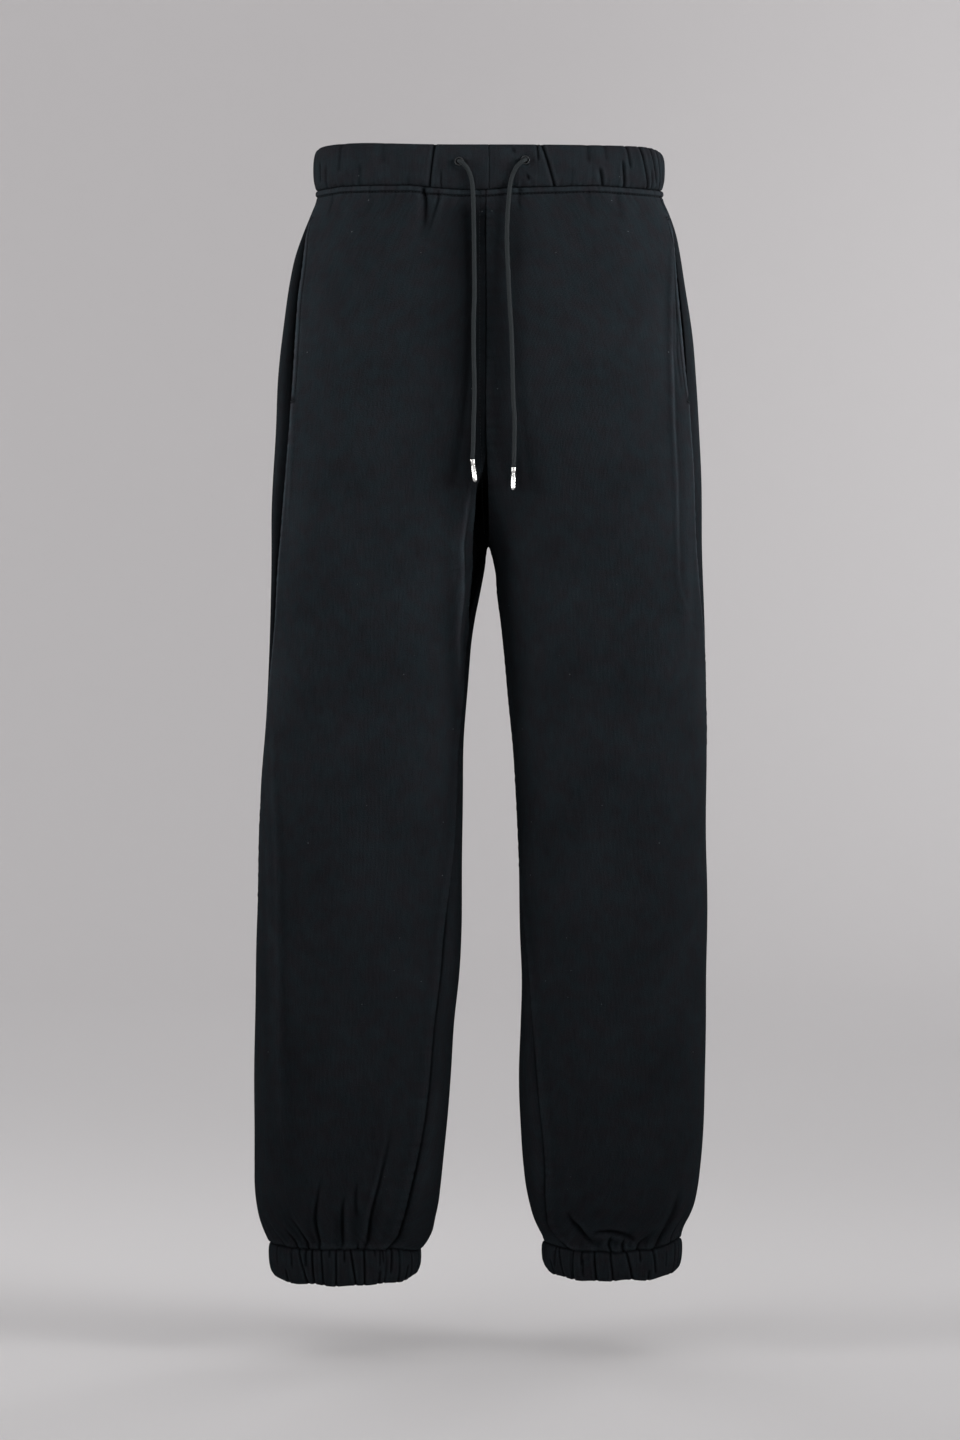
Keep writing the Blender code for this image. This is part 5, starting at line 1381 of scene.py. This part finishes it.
def fleece_material(name, colour, nap, sheen):
    """Wales, nap and slow mottling in the cloth's metres, times the mesh's painted highlights on ridges and
    painted shade in hollows.
    """
    made, put, add = new_material(name, colour, 0.92)
    uv = add("UVMap", {}, uv_map="cloth")
    streak = noise(add, add("Mapping", {"Vector": uv, "Scale": (620, 55, 1)}), 1.0, 3.0, 0.6)
    fuzz = noise(add, uv, 900.0, 2.0, 0.65)
    slow = noise(add, uv, 16.0, 4.0, 0.55)
    wale = add("TexWave", {"Vector": uv, "Scale": 262.0, "Distortion": 1.2, "Detail": 1.0,
                           "Detail Scale": 0.6}, "Fac", bands_direction="X")

    # The tone from the mesh, painted light and shade, times the unevenness of the knit at three sizes.
    tone_with_painted_light = add("Attribute", {}, "Fac", attribute_name="tone_with_painted_light")
    for source, low, spread in ((slow, 0.25, 0.14), (streak, 0.3, 0.16), (fuzz, 0.3, 0.28)):
        share = remap(add, source, low, 1 - low, 1 - spread, 1 + spread)
        tone_with_painted_light = add("Math", {0: tone_with_painted_light, 1: share}, operation="MULTIPLY")

    # Two near colours of dye in patches, and specks of lint in a few of them.
    warm, cool = ((*np.multiply(colour, tint), 1) for tint in ((1.04, 0.92, 0.92), (0.97, 1.08, 1.08)))
    hue = mixed(add, remap(add, noise(add, uv, 70.0, 3.0, 0.6), 0.38, 0.62, 0, 1), warm, cool)
    paint = add("VectorMath", {0: hue, "Scale": tone_with_painted_light}, operation="SCALE")
    speck = remap(add, add("TexVoronoi", {"Vector": uv, "Scale": 95.0}, "Distance"), 0.035, 0.06, 1, 0)
    rare = remap(add, noise(add, uv, 14.0, 2.0), 0.57, 0.62, 0, 1)
    lint = add("Math", {0: speck, 1: rare}, operation="MULTIPLY")

    ridges = add("Bump", {"Strength": 0.5, "Distance": 0.12 * MM, "Height": wale})
    put({"Base Color": mixed(add, lint, paint, LINT), "Specular IOR Level": 0.0, "Sheen Weight": sheen,
         "Sheen Roughness": 0.45, "Sheen Tint": (0.62, 0.75, 0.82, 1),
         "Normal": add("Bump", {"Strength": 0.6, "Distance": nap, "Height": fuzz, "Normal": ridges})})
    return made


FLEECE = fleece_material("brushed_fleece", (0.0088, 0.0104, 0.0122), 0.3 * MM, 0.008)
POCKETING = fleece_material("pocketing", (0.0065, 0.0080, 0.0094), 0.1 * MM, 0.004)
for made in [*panels.values(), *bands.values(), *cuffs.values()]:
    made.data.materials.append(FLEECE)
for made in pockets.values():
    made.data.materials.append(POCKETING)
print("fleece on", len(panels) + len(bands) + len(cuffs), "pieces")

# %% [markdown]
# The cord is a braid of many fine yarns, so its colour is uneven at their size. Thread and metal are smooth.
# What tells them apart in a soft light is how sharp their highlights are, so each has a roughness that
# wanders a little: on thread in the cloth's metres, and on metal in the object's own.

# %% Cord, thread and metal
CORD_COLOUR = (0.0125, 0.0148, 0.0160)
CORDING, put, add = new_material("braided_cording", CORD_COLOUR, 0.7)
twist = remap(add, noise(add, add("UVMap", {}, uv_map="cloth"), 1400.0, 2.0), 0.3, 0.7, 0.7, 1.3)
put({"Base Color": add("VectorMath", {0: CORD_COLOUR, "Scale": twist}, operation="SCALE"),
     "Sheen Weight": 0.01, "Specular IOR Level": 0.05})


def uneven_gloss(name, colour, rough, metal, scale, detail, least, most):
    """A plain colour whose roughness wanders between two values: on the cloth, or in space on metal."""
    made, put, add = new_material(name, colour, rough, metal)
    place = add("TexCoord", {}, "Object") if metal else add("UVMap", {}, uv_map="cloth")
    put({"Roughness": remap(add, noise(add, place, scale, detail), 0.3, 0.7, least, most)})
    return made, put


THREADS, put = uneven_gloss("sewing_thread", (0.0075, 0.0088, 0.0102), 0.6, 0.0, 2500.0, 1.0, 0.5, 0.75)
put({"Specular IOR Level": 0.04})
POLISHED, put = uneven_gloss("polished_tip", (0.72, 0.72, 0.70), 0.24, 1.0, 900.0, 3.0, 0.18, 0.34)
BLACKENED, put = uneven_gloss("blackened_eyelet", (0.030, 0.032, 0.034), 0.5, 0.9, 700.0, 3.0, 0.42, 0.6)
for pieces, finish in ((stitches, THREADS), (cords, CORDING), (tips, POLISHED), (eyelets, BLACKENED)):
    for made in pieces.values():
        made.data.materials.append(finish)
print("materials:", len(bpy.data.materials))

# %% [markdown]
# ## Floor and light
# The garment floats a hand's breadth over a plain pale floor. The floor is a wide round dish whose rim
# sweeps up, so there is no corner behind the garment from any side. Two wide soft boxes stand far out to
# the left and the right, level with the hips, so each leg is brighter at its sides than down its middle. A
# weak one in front opens the inner sides, two behind do the same for the back, and a broad lamp overhead
# gives the one gentle shadow under the cuffs. A pale world fills in the rest.

# %% Floor and its sweep
FLOOR = -1.087
FLAT_OUT, RIM_HIGH, SWEEP = 5.0, 2.6, 2.4
FLOOR_SIDES = 144
bend = np.linspace(0, math.pi / 2, 24)[1:]
profile = np.concatenate([
    [(0.02, 0), (0.6, 0), (1.6, 0), (2.6, 0), (3.8, 0), (FLAT_OUT, 0)],
    np.stack([FLAT_OUT + SWEEP * np.sin(bend), SWEEP * (1 - np.cos(bend))], 1),
    [(FLAT_OUT + SWEEP, RIM_HIGH + 0.4), (FLAT_OUT + SWEEP, RIM_HIGH + 1.2)]])
turn = circle(FLOOR_SIDES)
rings = np.stack([profile[:, :1] * np.cos(turn), profile[:, :1] * np.sin(turn),
                  np.broadcast_to(profile[:, 1:] + FLOOR, (len(profile), FLOOR_SIDES))], -1)
points = np.concatenate([rings.reshape(-1, 3), [[0, 0, FLOOR]]])
hub = len(points) - 1
middle = caps(FLOOR_SIDES, 0, (hub, hub))[:FLOOR_SIDES]
faces = [grid_faces(len(profile), FLOOR_SIDES, wrap_columns=True), middle]
floor = make_piece("floor", points, outward(points, faces, 3 * UP - points))
PALE, put, add = new_material("pale_floor", (0.78, 0.766, 0.768), 0.9)
put({"Specular IOR Level": 0.05})
floor.data.materials.append(PALE)
print("floor", 2 * (FLAT_OUT + SWEEP), "m across")

# %% Lamps and world
def soft_box(name, place, target, size, power, spread):
    """A rectangular lamp that looks from its place to a target. Its spread is in degrees."""
    data = bpy.data.lights.new(name, "AREA")
    data.shape = "RECTANGLE"
    data.size, data.size_y = size
    data.energy = power
    data.spread = math.radians(spread)
    made = bpy.data.objects.new(name, data)
    bpy.context.scene.collection.objects.link(made)
    made.location = place
    made.rotation_euler = (Vector(target) - Vector(place)).to_track_quat("-Z", "Y").to_euler()
    made.visible_camera = False


for row in (("key_right", (2.4, -1.1, 0.2), (0.08, 0, -0.02), (1.7, 0.8), 12.4, 46),
            ("key_left", (-2.45, -0.85, 0.2), (-0.08, 0, -0.02), (1.5, 0.8), 7, 46),
            ("fill", (-1.2, -2.4, 0.0), (0.0, 0, -0.2), (0.8, 0.8), 1.0, 46),
            ("rear_right", (1.3, 2.2, 0.3), (0.08, 0, 0.2), (0.8, 0.8), 8, 46),
            ("rear_left", (-1.0, 2.4, 0.3), (-0.08, 0, 0.2), (0.8, 0.8), 4, 46),
            ("backdrop", (-1.5, -0.5, 2.6), (2.9, 6.5, 0.5), (1.0, 1.0), 10, 44),
            ("overhead", (1.2, 0.1, 2.25), (0.2, -0.1, -1.0), (1.5, 1.5), 3.4, 180)):
    soft_box(*row)

# The world's light is paler from the floor's side and greyer from above.
world = bpy.data.worlds.new("studio")
world.use_nodes = True
sky, wires = world.node_tree.nodes, world.node_tree.links
aim, parts, ramp = (sky.new("ShaderNode" + kind) for kind in ("TexCoord", "SeparateXYZ", "Mix"))
ramp.data_type = "RGBA"
ramp.inputs[6].default_value = (0.92, 0.912, 0.92, 1)
ramp.inputs[7].default_value = (0.54, 0.535, 0.54, 1)
wires.new(aim.outputs["Generated"], parts.inputs["Vector"])
wires.new(parts.outputs["Z"], ramp.inputs["Factor"])
wires.new(ramp.outputs[2], sky["Background"].inputs["Color"])
sky["Background"].inputs["Strength"].default_value = 1.0
bpy.context.scene.world = world
bpy.context.scene.view_settings.view_transform = "Standard"
print("lamps:", len(bpy.data.lights))
